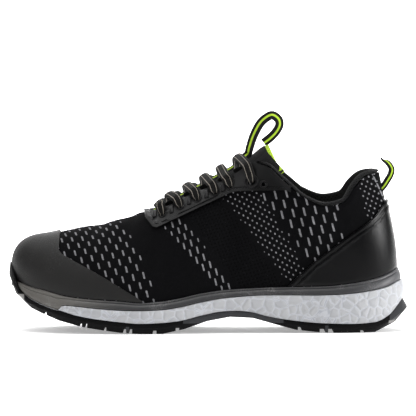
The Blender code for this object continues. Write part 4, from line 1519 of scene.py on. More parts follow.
@dataclass
class Upper:
    """The knit upper: one hollow shell from the rim of the sole to throat and collar."""

    wall: float = 0.0022
    columns: int = 150
    rows: int = 46
    folds: tuple[Fold, ...] = (
        # flex of the vamp behind the toe guard
        Fold((-0.104, 0.060), (-0.078, 0.083), -0.0006, 0.0035),
        Fold((-0.092, 0.056), (-0.068, 0.084), 0.0006, 0.0050),
        Fold((-0.078, 0.050), (-0.056, 0.086), -0.0010, 0.0045),
        Fold((-0.060, 0.040), (-0.044, 0.080), 0.0006, 0.0060),
        # pull of the laces on the quarter
        Fold((-0.036, 0.036), (-0.020, 0.084), -0.0011, 0.0070),
        Fold((-0.006, 0.040), (0.004, 0.092), 0.0008, 0.0080),
        Fold((0.014, 0.044), (0.020, 0.098), -0.0010, 0.0080),
        # ankle, from the collar's low point down to the counter
        Fold((0.048, 0.102), (0.062, 0.066), -0.0013, 0.0075),
        Fold((0.070, 0.094), (0.084, 0.070), 0.0010, 0.0060),
        Fold((0.092, 0.094), (0.104, 0.082), -0.0013, 0.0060),
        # seam below the collar roll
        Fold((0.048, 0.1175), (0.066, 0.1030), -0.0009, 0.0016),
        Fold((0.066, 0.1030), (0.080, 0.0958), -0.0009, 0.0016),
        Fold((0.080, 0.0958), (0.094, 0.0935), -0.0009, 0.0016),
        Fold((0.094, 0.0935), (0.104, 0.0975), -0.0009, 0.0016),
        Fold((0.104, 0.0975), (0.111, 0.1090), -0.0009, 0.0016),
    )

    @staticmethod
    def outer_face(rows: int, columns: int, low_row: bool) -> Grid:
        """The outer face of the upper round the whole foot.

        Args:
            rows: rows of faces up the ribs.
            columns: ribs on each side.
            low_row: True to start on the foam bed, inside the rim.

        Returns:
            The sheet, closed round the foot.
        """
        feet = column_feet(0.0, 1.0, columns)
        sides = []
        for side in (Side.OUTER, Side.INNER):
            corners = LAST.rib_corners(feet, side)
            points = LAST.bezier(corners, np.linspace(0, 1, rows + 1))
            if low_row:
                low = points[:, :1].copy()
                low[:, 0, 2] = LAST.level(4, feet) + LAST.seat
                points = np.concatenate([low, points], axis=1)
            sides.append(points)
        outer, inner = sides
        points = np.concatenate([outer, inner[-2:0:-1]])
        return Grid(points, side_lengths(points), True)

    def folded(self, sheet: Grid) -> Array:
        """How far the listed folds move each point of a sheet."""
        return sum(fold.push(sheet.points[..., 0], sheet.points[..., 2]) for fold in self.folds)

    def build(self) -> Piece:
        """Makes the knit shell in place of its solid.

        Returns:
            The finished piece.
        """
        sheet = self.outer_face(self.rows, self.columns, True)
        outer = sheet.moved(self.folded(sheet))
        return settle(sheet_solid("knit_upper", outer, outer.moved(-self.wall)), KNIT, 50, "upper")


@dataclass
class Overlay:
    """A moulded layer on the upper, cut to a side outline."""

    name: str
    node: str
    outline: Route
    finish: Finish
    thickness: float = 0.0013
    side: Side | None = None
    edge: float = 0.0004

    def world(self, points: Sequence[tuple[float, float]]) -> list[tuple[float, float]]:
        """World X and Z of stations and shares of the collar height."""
        return [(float(LAST.along(s)), h * LAST.collar_height) for s, h in points]

    def skin(self, outline: Sequence[tuple[float, float]], offset: float, thickness: float) -> Piece:
        """A wall of the upper's form, cut to a side outline.

        Args:
            outline: the outline's world X and Z.
            offset: how far the wall stands off the upper.
            thickness: how thick it is.

        Returns:
            The wall.
        """
        sheet = Upper.outer_face(40, 110, False)
        piece = sheet_solid(self.name, sheet.moved(offset + thickness), sheet.moved(offset))
        wide = LAST.ball_width
        low = 0.0 if self.side is Side.INNER else -wide
        high = 0.0 if self.side is Side.OUTER else wide
        carve(piece, prism("outline", outline, low, high), "INTERSECT")
        return piece

    def build(self) -> Piece:
        """Makes the layer in place of its solid.

        Returns:
            The finished piece.
        """
        piece = self.skin(self.world(self.outline), LAST.gap, self.thickness)
        self.shape(piece)
        soften(piece, self.edge)
        return settle(piece, self.finish, 45, self.node)

    def shape(self, piece: Piece) -> None:
        """Adds what the plain layer lacks; a plain one lacks nothing."""


TOE_GUARD = Overlay(
    "toe_guard_skin",
    "toe_guard",
    (
        (0.122, 0.640), (0.1265, 0.600), (0.130, 0.572), (0.130, 0.530), (0.129, 0.491), (0.138, 0.466),
        (0.170, 0.424), (0.205, 0.382), (0.255, 0.315), (0.333, 0.201), (0.345, 0.176),
        (-0.10, 0.10), (-0.10, 0.80),
    ),
    GUARD,
)


@dataclass
class Counter(Overlay):
    """The heel counter, with two raised lines that follow its front edge."""

    edge_line: Route = (
        (0.1364, 0.0999), (0.1255, 0.0863), (0.1119, 0.0768), (0.0949, 0.0645),
        (0.0812, 0.0543), (0.0700, 0.0440), (0.0615, 0.0350),
    )
    raised: Route = ((0.0012, 0.0008), (0.0046, 0.0009))

    def shape(self, piece: Piece) -> None:
        """Adds the raised lines as narrow bands of the same film.

        Args:
            piece: the mesh object.
        """
        points = smooth_path(self.edge_line, 25)
        for below, half in self.raised:
            outline = strip(points, below - half, below + half)
            carve(piece, self.skin(outline, LAST.gap + 0.0005, self.thickness + 0.0002), "UNION")


COUNTER = Counter(
    "counter_skin",
    "heel_counter",
    (
        (0.960, 0.815), (0.948, 0.787), (0.913, 0.680), (0.868, 0.605), (0.812, 0.508), (0.767, 0.428),
        (0.711, 0.310), (0.700, 0.280), (0.70, 0.10), (1.10, 0.10), (1.10, 0.815),
    ),
    FILM,
)


@dataclass
class Eyestay(Overlay):
    """A lace stay: raised border, sunk row of eyelets with bars between, smooth top panel."""

    thickness: float = 0.0019
    recess: float = 0.0009
    eyelets: tuple[float, ...] = (0.388, 0.434, 0.475, 0.520, 0.558)
    top_eyelet: float = 0.609
    spare_eyelet: float = 0.638
    inset: float = 0.0072
    top_inset: float = 0.0125
    spare_inset: float = 0.0155
    hole: float = 0.0025
    top_hole: float = 0.0031
    spare_hole: float = 0.0018
    bars: tuple[float, ...] = (0.3685, 0.411, 0.4545, 0.4975, 0.539)
    sunk: Route = (
        (0.366, 0.652), (0.376, 0.648), (0.466, 0.752), (0.548, 0.843), (0.562, 0.866),
        (0.566, 0.930), (0.545, 0.925), (0.470, 0.860), (0.392, 0.770), (0.352, 0.722),
    )
    groove: Route = (
        (-0.0420, 0.0852), (-0.0385, 0.0818), (-0.0250, 0.0880), (-0.0100, 0.0948), (0.0135, 0.1061),
        (0.0225, 0.1092), (0.0420, 0.1096), (0.0570, 0.1098),
    )

    def shape(self, piece: Piece) -> None:
        """Sinks the eyelet row, cuts the groove and the eyelets, and adds the bars.

        Args:
            piece: the mesh object.
        """
        face = LAST.gap + self.thickness
        carve(piece, self.skin(self.world(self.sunk), face - self.recess, 0.004), "DIFFERENCE")
        groove = strip(smooth_path(self.groove, 21), -0.00045, 0.00045)
        carve(piece, self.skin(groove, face - 0.0006, 0.003), "DIFFERENCE")
        for station in self.bars:
            self.bar(piece, station)
        for station, inset, radius, _, _ in self.holes():
            self.punch(piece, station, inset, radius)

    def holes(self) -> list[tuple[float, ...]]:
        """The eyelets of this stay.

        Returns:
            Station, inset, radius, extra radius of the ring and depth of each.
        """
        row = [(station, self.inset, self.hole, 0.0, self.recess) for station in self.eyelets]
        top = (self.top_eyelet, self.top_inset, self.top_hole, 0.0012, 0.0)
        return row + [top, (self.spare_eyelet, self.spare_inset, self.spare_hole, 0.0002, 0.0)]

    def bar(self, piece: Piece, station: float) -> None:
        """Adds a raised rounded bar between two eyelets.

        Args:
            piece: the mesh object.
            station: share of the way along the form.
        """
        place, out = LAST.eyelet(station, self.side, 0.0062)
        low, _ = LAST.eyelet(station, self.side, 0.0100)
        down = Vector(low - place).normalized()
        out = Vector(out)
        across = down.cross(out).normalized()
        deselect()
        bpy.ops.mesh.primitive_cube_add(size=1.0)
        bar = bpy.context.object
        bar.data.transform(Matrix.Diagonal((0.0034, 0.0072, 0.0024, 1.0)))
        soften(bar, 0.0007)
        turn = Matrix((across, down, out)).transposed().to_4x4()
        turn.translation = Vector(place) + out * (LAST.gap + self.thickness - 0.0010)
        bar.data.transform(turn)
        carve(piece, bar, "UNION")

    def punch(self, piece: Piece, station: float, inset: float, radius: float) -> None:
        """Cuts one eyelet through the stay.

        Args:
            piece: the mesh object.
            station: share of the way along the form.
            inset: distance inside the edge.
            radius: radius of the hole.
        """
        place, out = LAST.eyelet(station, self.side, inset)
        deselect()
        bpy.ops.mesh.primitive_cylinder_add(vertices=20, radius=radius, depth=0.014)
        tool = bpy.context.object
        tool.data.transform(turned(place, out))
        carve(piece, tool, "DIFFERENCE")


STAY_OUTLINE = (
    (0.340, 0.720), (0.343, 0.684), (0.362, 0.630), (0.372, 0.624), (0.416, 0.673), (0.464, 0.727),
    (0.543, 0.816), (0.556, 0.830), (0.573, 0.839), (0.638, 0.843), (0.692, 0.845), (0.705, 0.832),
    (0.70, 1.10), (0.40, 1.10), (0.32, 0.76),
)
STAYS = tuple(
    Eyestay(f"{node}_skin", node, STAY_OUTLINE, STAY_FILM, side=side, edge=0.0003)
    for side, node in ((Side.OUTER, "eyestay_outer"), (Side.INNER, "eyestay_inner"))
)


@dataclass
class EyeletRings:
    """Rolled rings round the eyelets of one side, seated in the lace stay."""

    stay: Eyestay
    tube: float = 0.0007

    def build(self) -> Piece:
        """Makes the rings as one piece.

        Returns:
            The finished piece.
        """
        made = []
        for station, inset, radius, more, sunk in self.stay.holes():
            place, out = LAST.eyelet(station, self.stay.side, inset)
            deselect()
            bpy.ops.mesh.primitive_torus_add(
                major_segments=28,
                minor_segments=10,
                major_radius=radius + more + self.tube * 0.4,
                minor_radius=self.tube,
            )
            ring = bpy.context.object
            ring.data.transform(turned(place + out * (LAST.gap + self.stay.thickness - sunk), out))
            made.append(ring)
        return settle(joined(f"eyelet_rings_{self.stay.side.name.lower()}", made), STAY_FILM, 60)


@dataclass
class Tongue:
    """The padded tongue with its lime lining, binding and stitched channels."""

    thickness: float = 0.0046
    arc: float = 0.46 * math.pi
    thinning: float = 0.55
    lean: float = 0.7
    lining_lift: float = 0.0006
    lining_from: float = 0.585
    lining_past: float = 0.0105
    lining_below: float = 0.0003
    bulge: tuple[float, float] = (0.0030, 0.0016)
    bulge_from: float = 0.612
    bulge_run: float = 0.030
    round_over: float = 0.0040
    table: Array = field(default_factory=lambda: np.array([
        # station, height, half width, drop
        (0.300, 0.628, 0.140, 0.075),
        (0.345, 0.680, 0.165, 0.105),
        (0.400, 0.756, 0.190, 0.150),
        (0.457, 0.828, 0.200, 0.175),
        (0.520, 0.908, 0.206, 0.195),
        (0.575, 0.984, 0.210, 0.205),
        (0.612, 1.052, 0.214, 0.215),
        (0.640, 1.112, 0.200, 0.220),
    ]))

    def read(self, index: int, station: Array) -> Array:
        """A column of the tongue's table."""
        return read_curve(self.table[:, 0], self.table[:, index], station)

    def frame_at(self, station: float) -> tuple[Array, Array, Array]:
        """A point of the middle line, the direction along it and the direction out of it.

        Args:
            station: share of the way along the form.

        Returns:
            The point, the direction along and the direction out.
        """
        at = np.array([station - 0.004, station, station + 0.004])
        x, z = LAST.along(at), self.read(1, at) * LAST.collar_height
        run = np.array([x[2] - x[0], 0.0, z[2] - z[0]])
        run /= np.linalg.norm(run)
        place = np.array([x[1], float(LAST.middle(at[1:2])[0]), z[1]])
        return place, run, np.array([-run[2], 0.0, run[0]])

    def faces(self, stations: Array, shares: Array, puff: float) -> tuple[Array, Array]:
        """The outer and the inner face as points, with soft channels between padded rows.

        Args:
            stations: stations along the tongue.
            shares: places across it, from -1 to 1.
            puff: how far the padded rows stand proud of the channels.

        Returns:
            Two arrays of stations by shares by coordinates.
        """
        outer = np.zeros((len(stations), len(shares), 3))
        inner = np.zeros_like(outer)
        for i, station in enumerate(stations):
            place, run, out = self.frame_at(float(station))
            half = float(self.read(2, np.array([station]))[0]) * LAST.ball_width
            drop = float(self.read(3, np.array([station]))[0]) * LAST.ball_width
            turn = shares * self.arc
            spread = half * np.sin(turn) / math.sin(self.arc)
            fall = drop * (1 - np.cos(turn)) / (1 - math.cos(self.arc))
            thin = 1 - self.thinning * shares**4
            row = 1 - np.exp(-(((np.abs(shares) - 0.42) / 0.05) ** 2))
            rows = 0.5 + 0.5 * math.cos(2 * math.pi * (station - 0.60) / 0.040) if station > 0.60 else 1.0
            middle = place + np.outer(spread, (0, 1, 0)) - np.outer(fall, out)
            into = -np.outer(np.cos(turn * self.lean), out) - np.outer(np.sin(turn * self.lean), (0, 1, 0))
            proud = puff * row * (0.4 + 0.6 * rows)
            outer[i] = middle - into * proud[:, None]
            inner[i] = middle + into * (self.thickness * thin)[:, None]
        return outer, inner

    def build(self) -> list[Piece]:
        """Makes the tongue's body and its lime lining.

        Returns:
            The finished pieces.
        """
        stations = np.linspace(self.table[0, 0], self.table[-1, 0], 72)
        shares = np.linspace(-1, 1, 45)
        outer, inner = self.faces(stations, shares, 0.0004)
        top = smooth_step((stations - 0.626) / 0.014)[:, None, None]
        middle = (outer + inner) / 2
        outer = outer + (middle - outer) * top * 0.45
        inner = inner + (middle - inner) * top * 0.45
        sections = np.concatenate([outer, inner[:, ::-1]], axis=1)
        across = np.concatenate([shares, shares[::-1] + 2.2, [shares[0]]]) * 0.030
        body = loft("tongue_body", sections, spread_uv(across, stations[:, None] * LAST.length * 1.15))
        settle(body, PLAIN_KNIT, 60, "tongue")
        return [body, self.lining()]

    def lining(self) -> Piece:
        """The lime mesh that lines the tongue's top and rolls over its end.

        Returns:
            The finished piece.
        """
        stations = np.linspace(self.lining_from, self.table[-1, 0] + self.lining_past, 30)
        shares = np.linspace(-0.985, 0.985, 41)
        clipped = np.minimum(stations, self.table[-1, 0])
        outer, inner = self.faces(clipped, shares, 0.0)
        _, run, _ = self.frame_at(float(self.table[-1, 0]) - 0.004)
        past = (stations - clipped) * LAST.length
        bulge = smooth_step((stations - self.bulge_from) / self.bulge_run)
        low = inner.copy()
        high = inner.copy()
        for i in range(len(stations)):
            shift = run * past[i]
            into = inner[i] - outer[i]
            into /= np.linalg.norm(into, axis=1, keepdims=True)
            rounded = math.sqrt(max(0.0, 1 - (past[i] / self.round_over) ** 2)) * bulge[i]
            low[i] = inner[i] + shift - into * (self.lining_below + self.bulge[0] * rounded)
            high[i] = inner[i] + shift + into * (self.lining_lift + self.bulge[1] * rounded)
        sections = np.concatenate([low, high[:, ::-1]], axis=1)
        across = np.concatenate([shares, shares[::-1], [shares[0]]]) * 0.030
        wrap = spread_uv(across, stations[:, None] * LAST.length)
        return settle(loft("tongue_lining", sections, wrap), LIME_MESH, 60)


TONGUE = Tongue()


@dataclass
class CollarRoll:
    """The padded mesh roll round the ankle opening, on the upper's edge and down inside it."""

    start: float = 0.650
    pad: float = 0.0052
    deep: float = 0.030
    roll: float = 0.0031
    wall: float = 0.0022
    clearance: float = 0.0009
    lean: float = 0.045
    columns: int = 110
    ankle: float = 0.80
    full_from: float = 0.77
    thin_pad: float = 0.30
    thin_deep: float = 0.45
    over_columns: float = 4.0
    tuck: float = 0.0006
    cushion: Route = ((0.10, 1.0), (0.25, 0.98), (0.45, 0.85), (0.62, 0.65), (0.80, 0.40), (0.93, 0.18))
    back: tuple[float, ...] = (1.0, 0.8, 0.45, 0.15)

    def build(self) -> Piece:
        """Makes the roll in place of its solid.

        Returns:
            The finished piece.
        """
        feet = column_feet(self.start, 1.0, self.columns)
        outer = LAST.rib_corners(feet, Side.OUTER)
        inner = LAST.rib_corners(feet[-2::-1], Side.INNER)
        corners = np.concatenate([outer, inner])
        feet = np.concatenate([feet, feet[-2::-1]])
        end = corners[:, 3]
        down = corners[:, 2] - end
        length = np.linalg.norm(down, axis=1)
        down /= length[:, None]
        run = np.gradient(end, axis=0)
        inwards = np.cross(down, run)
        inwards /= np.linalg.norm(inwards, axis=1, keepdims=True)
        ankle = np.full(len(feet), float(LAST.along(self.ankle)))
        centre = np.column_stack([ankle, LAST.middle(feet), end[:, 2]])
        flip = np.einsum("ij,ij->i", inwards, centre - end) < 0
        inwards[flip] *= -1
        share = np.minimum((feet - self.start) / (self.full_from - self.start), 1.0)
        pads = self.pad * (self.thin_pad + (1 - self.thin_pad) * share)
        deeps = self.deep * (self.thin_deep + (1 - self.thin_deep) * share)
        wall = self.wall + self.clearance
        gap = LAST.gap
        ends = np.minimum(np.arange(len(feet)), np.arange(len(feet))[::-1])
        over = smooth_step(ends / self.over_columns)
        turns = np.linspace(0, math.pi, 13)
        curve = []
        for turn in turns:
            depth = -gap - self.roll * (0.25 + 0.75 * np.sin(turn)) * np.ones(len(feet))
            reach = (wall + pads * 0.9) * (1 - np.cos(turn)) / 2
            low = wall * (1 - over)
            curve.append((depth, np.maximum(reach, low) if turn < 0.8 else reach))
        for part, into in self.cushion:
            curve.append((part * deeps, wall + pads * into))
        for part in self.back:
            tuck = self.tuck if part == 1.0 else 0.0
            curve.append((part * deeps, np.full(len(feet), wall + tuck)))
        curve.append((np.full(len(feet), -gap), np.full(len(feet), wall)))
        points = []
        for depth, into in curve:
            inside = np.clip(depth, 0, None)
            where = 1 - inside / (3 * length)
            rest = 1 - where
            rib = (
                corners[:, 0] * (rest**3)[:, None]
                + corners[:, 1] * (3 * rest**2 * where)[:, None]
                + corners[:, 2] * (3 * rest * where**2)[:, None]
                + corners[:, 3] * (where**3)[:, None]
            )
            above = np.clip(depth, None, 0)
            points.append(rib + inwards * (into + self.lean * inside)[:, None] + down * above[:, None])
        sections = np.stack(points, axis=1)
        around = lengths(sections[len(feet) // 3])
        around = np.append(around, around[-1] + 0.003)
        piece = loft("collar_roll", sections, spread_uv(lengths(end)[:, None], around))
        settle(piece, COLLAR_MESH, 60, "collar_padding")
        return piece


@dataclass(frozen=True)
class Band:
    """The cross-section of a lace or a tape."""

    width: float
    thickness: float
    points: int = 20
    square: float = 1.0

    def loop(self, narrow: float = 1.0) -> Array:
        """Section points as rows of distance across and out.

        Args:
            narrow: share of the full width.

        Returns:
            The band's profile.
        """
        turns = np.linspace(0, 2 * math.pi, self.points, endpoint=False)
        across = np.sign(np.cos(turns)) * np.abs(np.cos(turns)) ** self.square
        out = np.sign(np.sin(turns)) * np.abs(np.sin(turns)) ** self.square
        return np.column_stack([across * self.width / 2 * narrow, out * self.thickness / 2])

    def sweep(self, name: str, path: Array, outs: Array, narrow: Array | None = None) -> Piece:
        """Carries the section along a path.

        Args:
            name: the piece's name.
            path: points of the middle line.
            outs: the direction that the face looks to at each point.
            narrow: share of the width at each point.

        Returns:
            The piece; its UV runs along the path in metres and once round the section.
        """
        narrow = np.ones(len(path)) if narrow is None else narrow
        run = directions(path)
        out = outs - run * np.einsum("ij,ij->i", outs, run)[:, None]
        out /= np.linalg.norm(out, axis=1, keepdims=True)
        across = np.cross(run, out)
        sections = np.zeros((len(path), self.points, 3))
        for i in range(len(path)):
            loop = self.loop(float(narrow[i]))
            sections[i] = path[i] + np.outer(loop[:, 0], across[i]) + np.outer(loop[:, 1], out[i])
        edge = self.loop()
        around = lengths(np.concatenate([edge, edge[:1]]))
        return loft(name, sections, spread_uv(lengths(path)[:, None], around / around[-1]))


@dataclass
class Laces:
    """The flat lace: a straight bar at the first eyelets and five crossings above it."""

    band: Band = Band(0.0076, 0.0041, 20, 0.85)
    eyelets: tuple[float, ...] = (0.388, 0.434, 0.475, 0.520, 0.558, 0.609)
    insets: tuple[float, ...] = (0.0072, 0.0072, 0.0072, 0.0072, 0.0072, 0.0125)
    stay: float = 0.0019
    clearance: float = 0.0014
    solid_thickness: float = 0.0028
    inside: float = 0.0032
    step: float = 0.0052
    tape: float = 0.0012
    edge: float = 1e-6

    def seat(self, station: float, side: Side, inset: float) -> tuple[Array, Array]:
        """Where the lace lies on the stay, over its eyelet or over the throat's edge."""
        place, out = LAST.eyelet(station, side, inset)
        return place + out * (self.stay + self.clearance + self.band.thickness / 2), out

    def hole(self, station: float, side: Side, inset: float) -> tuple[Array, Array]:
        """Where the lace dives into its eyelet; it looks down the stay there.

        Args:
            station: share of the way along the form.
            side: the side to read.
            inset: distance inside the edge.

        Returns:
            The hole's middle and the way out there.
        """
        place, out = LAST.eyelet(station, side, inset - 0.0004)
        beyond, _ = LAST.eyelet(station, side, inset + 0.0050)
        down = (beyond - place) / np.linalg.norm(beyond - place)
        return place + out * 0.0002, down * 0.95 + out * 0.3

    def throat(self, station: float, side: Side) -> tuple[Array, Array]:
        """Where the lace comes up out of the throat, below the stay's edge.

        Args:
            station: share of the way along the form.
            side: the side to read.

        Returns:
            The throat's edge and the way out there.
        """
        place, out = LAST.eyelet(station, side, self.insets[0])
        edge, _ = LAST.eyelet(station, side, self.edge)
        inwards = (edge - place) / np.linalg.norm(edge - place)
        return edge + inwards * self.inside + out * self.solid_thickness * 0.1, out

    def strand(self, name: str, before: list, behind: list, lift: float) -> Piece:
        """One strand over the tongue, with its ends drawn narrow into the eyelets.

        Args:
            name: its name.
            before: the end it starts at.
            behind: the end it runs to.
            lift: height over the throat.

        Returns:
            The finished piece.
        """
        middle_x = (before[-1][0][0] + behind[0][0][0]) / 2
        place, _, out = TONGUE.frame_at(middle_x / LAST.length + 0.5)
        route = before + [(place + out * lift, out)] + behind
        count = 14 * (len(route) - 1) + 1
        path = smooth_path([point for point, _ in route], count)
        outs = smooth_path([way for _, way in route], count)
        share = np.linspace(0, 1, count)
        narrow = np.ones(count)
        if len(before) > 1:
            narrow *= 0.62 + 0.38 * smooth_step(share / 0.16)
        if len(behind) > 1:
            narrow *= 0.62 + 0.38 * smooth_step((1 - share) / 0.16)
        return self.band.sweep(name, path, outs, narrow)

    def build(self) -> list[Piece]:
        """Makes the bar and the crossings.

        Returns:
            The finished pieces.
        """
        lift = self.tape + 4 * LAST.gap + self.solid_thickness / 2
        ends = []
        for side in Side:
            ends.append([
                self.hole(self.eyelets[0], side, self.insets[0]),
                self.seat(self.eyelets[0], side, self.insets[0] * 0.55),
                self.seat(self.eyelets[0], side, self.edge),
            ])
        bar = self.strand("lace_bar_first", ends[0], ends[1][::-1], lift)
        made = [settle(bar, LACE, 70, "lace_bar_1")]
        shift = self.step / LAST.length / 2
        for k in range(len(self.eyelets) - 1):
            strands = []
            for side, more in ((Side.OUTER, 0.0), (Side.INNER, self.solid_thickness * 0.8)):
                other = Side.INNER if side is Side.OUTER else Side.OUTER
                start = [self.throat(self.eyelets[k] + 2 * shift, side)]
                inset = self.insets[k + 1]
                end = [
                    self.seat(self.eyelets[k + 1] - shift, other, self.edge),
                    self.seat(self.eyelets[k + 1] - shift * 0.3, other, inset * 0.55),
                    self.hole(self.eyelets[k + 1], other, inset),
                ]
                strands.append(self.strand(f"lace_{k}_{side.name.lower()}", start, end, lift + more))
            crossing = joined(f"lace_crossing_{k + 1}", strands)
            made.append(settle(crossing, LACE, 70, f"lace_cross_{k + 1}"))
        return made


@dataclass
class TongueTape:
    """The webbing along the tongue that ends in the tall pull loop."""

    band: Band = Band(0.0080, 0.0013, 16, 0.35)
    start: float = 0.352
    seat: float = 0.606
    reach: float = 0.114
    twist: float = math.radians(52)
    twist_steps: int = 24
    lean: float = 0.35
    aside: float = 0.0014
    turns_from: float = 0.560
    seat_lean: float = 0.95
    rise: float = 0.0016
    half_thickness: float = 0.0006
    loop: Route = (
        (0.012, 0.050), (0.036, 0.122), (0.072, 0.192), (0.110, 0.234), (0.158, 0.258),
        (0.198, 0.234), (0.208, 0.196), (0.186, 0.150), (0.146, 0.108), (0.102, 0.074),
    )

    def build(self) -> Piece:
        """Makes the tape and its loop in place of their solid.

        Returns:
            The finished piece.
        """
        path, outs = [], []
        for station in np.linspace(self.start, self.seat, 40):
            place, _, out = TONGUE.frame_at(float(station))
            near = float(smooth_step((station - self.turns_from) / (self.seat - self.turns_from)))
            off = LAST.gap + self.half_thickness + self.rise * near
            path.append(place + out * off + np.array([0.0, -self.aside, 0.0]))
            outs.append(out + np.array([0.0, -self.lean - (self.seat_lean - self.lean) * near, 0.0]))
        seat = path[-1]
        route = [tuple(seat)]
        for back, up in self.loop:
            route.append((seat[0] + back * self.reach, seat[1], seat[2] + up * self.reach))
        loop = smooth_path(route, 88)[1:]
        run = np.gradient(loop, axis=0)
        for i, place in enumerate(loop):
            flat = np.array([-run[i][2], 0.0, run[i][0]])
            flat /= np.linalg.norm(flat)
            share = min(i / self.twist_steps, 1.0)
            twist = math.atan(self.seat_lean) * (1 - share) + self.twist * share
            path.append(place + np.array([0.0, -self.aside * (1 - share), 0.0]))
            outs.append(flat * math.cos(twist) + np.array([0.0, -math.sin(twist), 0.0]))
        piece = self.band.sweep("tongue_webbing", np.array(path), np.array(outs))
        return settle(piece, TAPE, 60, "tongue_tape")


@dataclass
class HeelLoop:
    """The pull loop behind the heel: two strands that lean back and curl to their bight."""

    band: Band = Band(0.0046, 0.0013, 16, 0.35)
    solid_width: float = 0.0062
    slant: float = 0.565
    sewn: tuple[float, float] = (-0.032, -0.036)
    foot: float = 0.996
    seat: float = 0.86
    reach: float = 0.114
    loop: Route = (
        (0.000, 0.000), (0.020, 0.032), (0.042, 0.070), (0.050, 0.110), (0.026, 0.150), (-0.012, 0.172),
    )

    def build(self) -> Piece:
        """Makes the loop in place of its solid.

        Returns:
            The finished piece.
        """
        seat = LAST.bezier(LAST.rib_corners(np.array([1.0]), Side.INNER), [self.seat])[0, 0]
        beside = LAST.bezier(LAST.rib_corners(np.array([self.foot]), Side.INNER), [self.seat])[0, 0]
        middle, half = seat[1], beside[1] - seat[1]
        start_x = beside[0] + 2 * LAST.gap + self.slant * self.solid_width / 2
        strand = []
        for i, (back, up) in enumerate(self.loop):
            spread = half * math.sqrt(1 - (i / (len(self.loop) - 1)) ** 4)
            strand.append((start_x + back * self.reach, spread, seat[2] + up * self.reach))
        strand.insert(0, (start_x + self.sewn[0] * self.reach, half, seat[2] + self.sewn[1] * self.reach))
        route = [(x, middle - spread, z) for x, spread, z in strand]
        route += [(x, middle + spread, z) for x, spread, z in strand[-2::-1]]
        path = smooth_path(route, 97)
        outs = np.array([(0.45, (point[1] - middle) / half, 0.35) for point in path])
        piece = self.band.sweep("heel_webbing", path, outs)
        return settle(piece, TAPE, 60, "heel_loop")


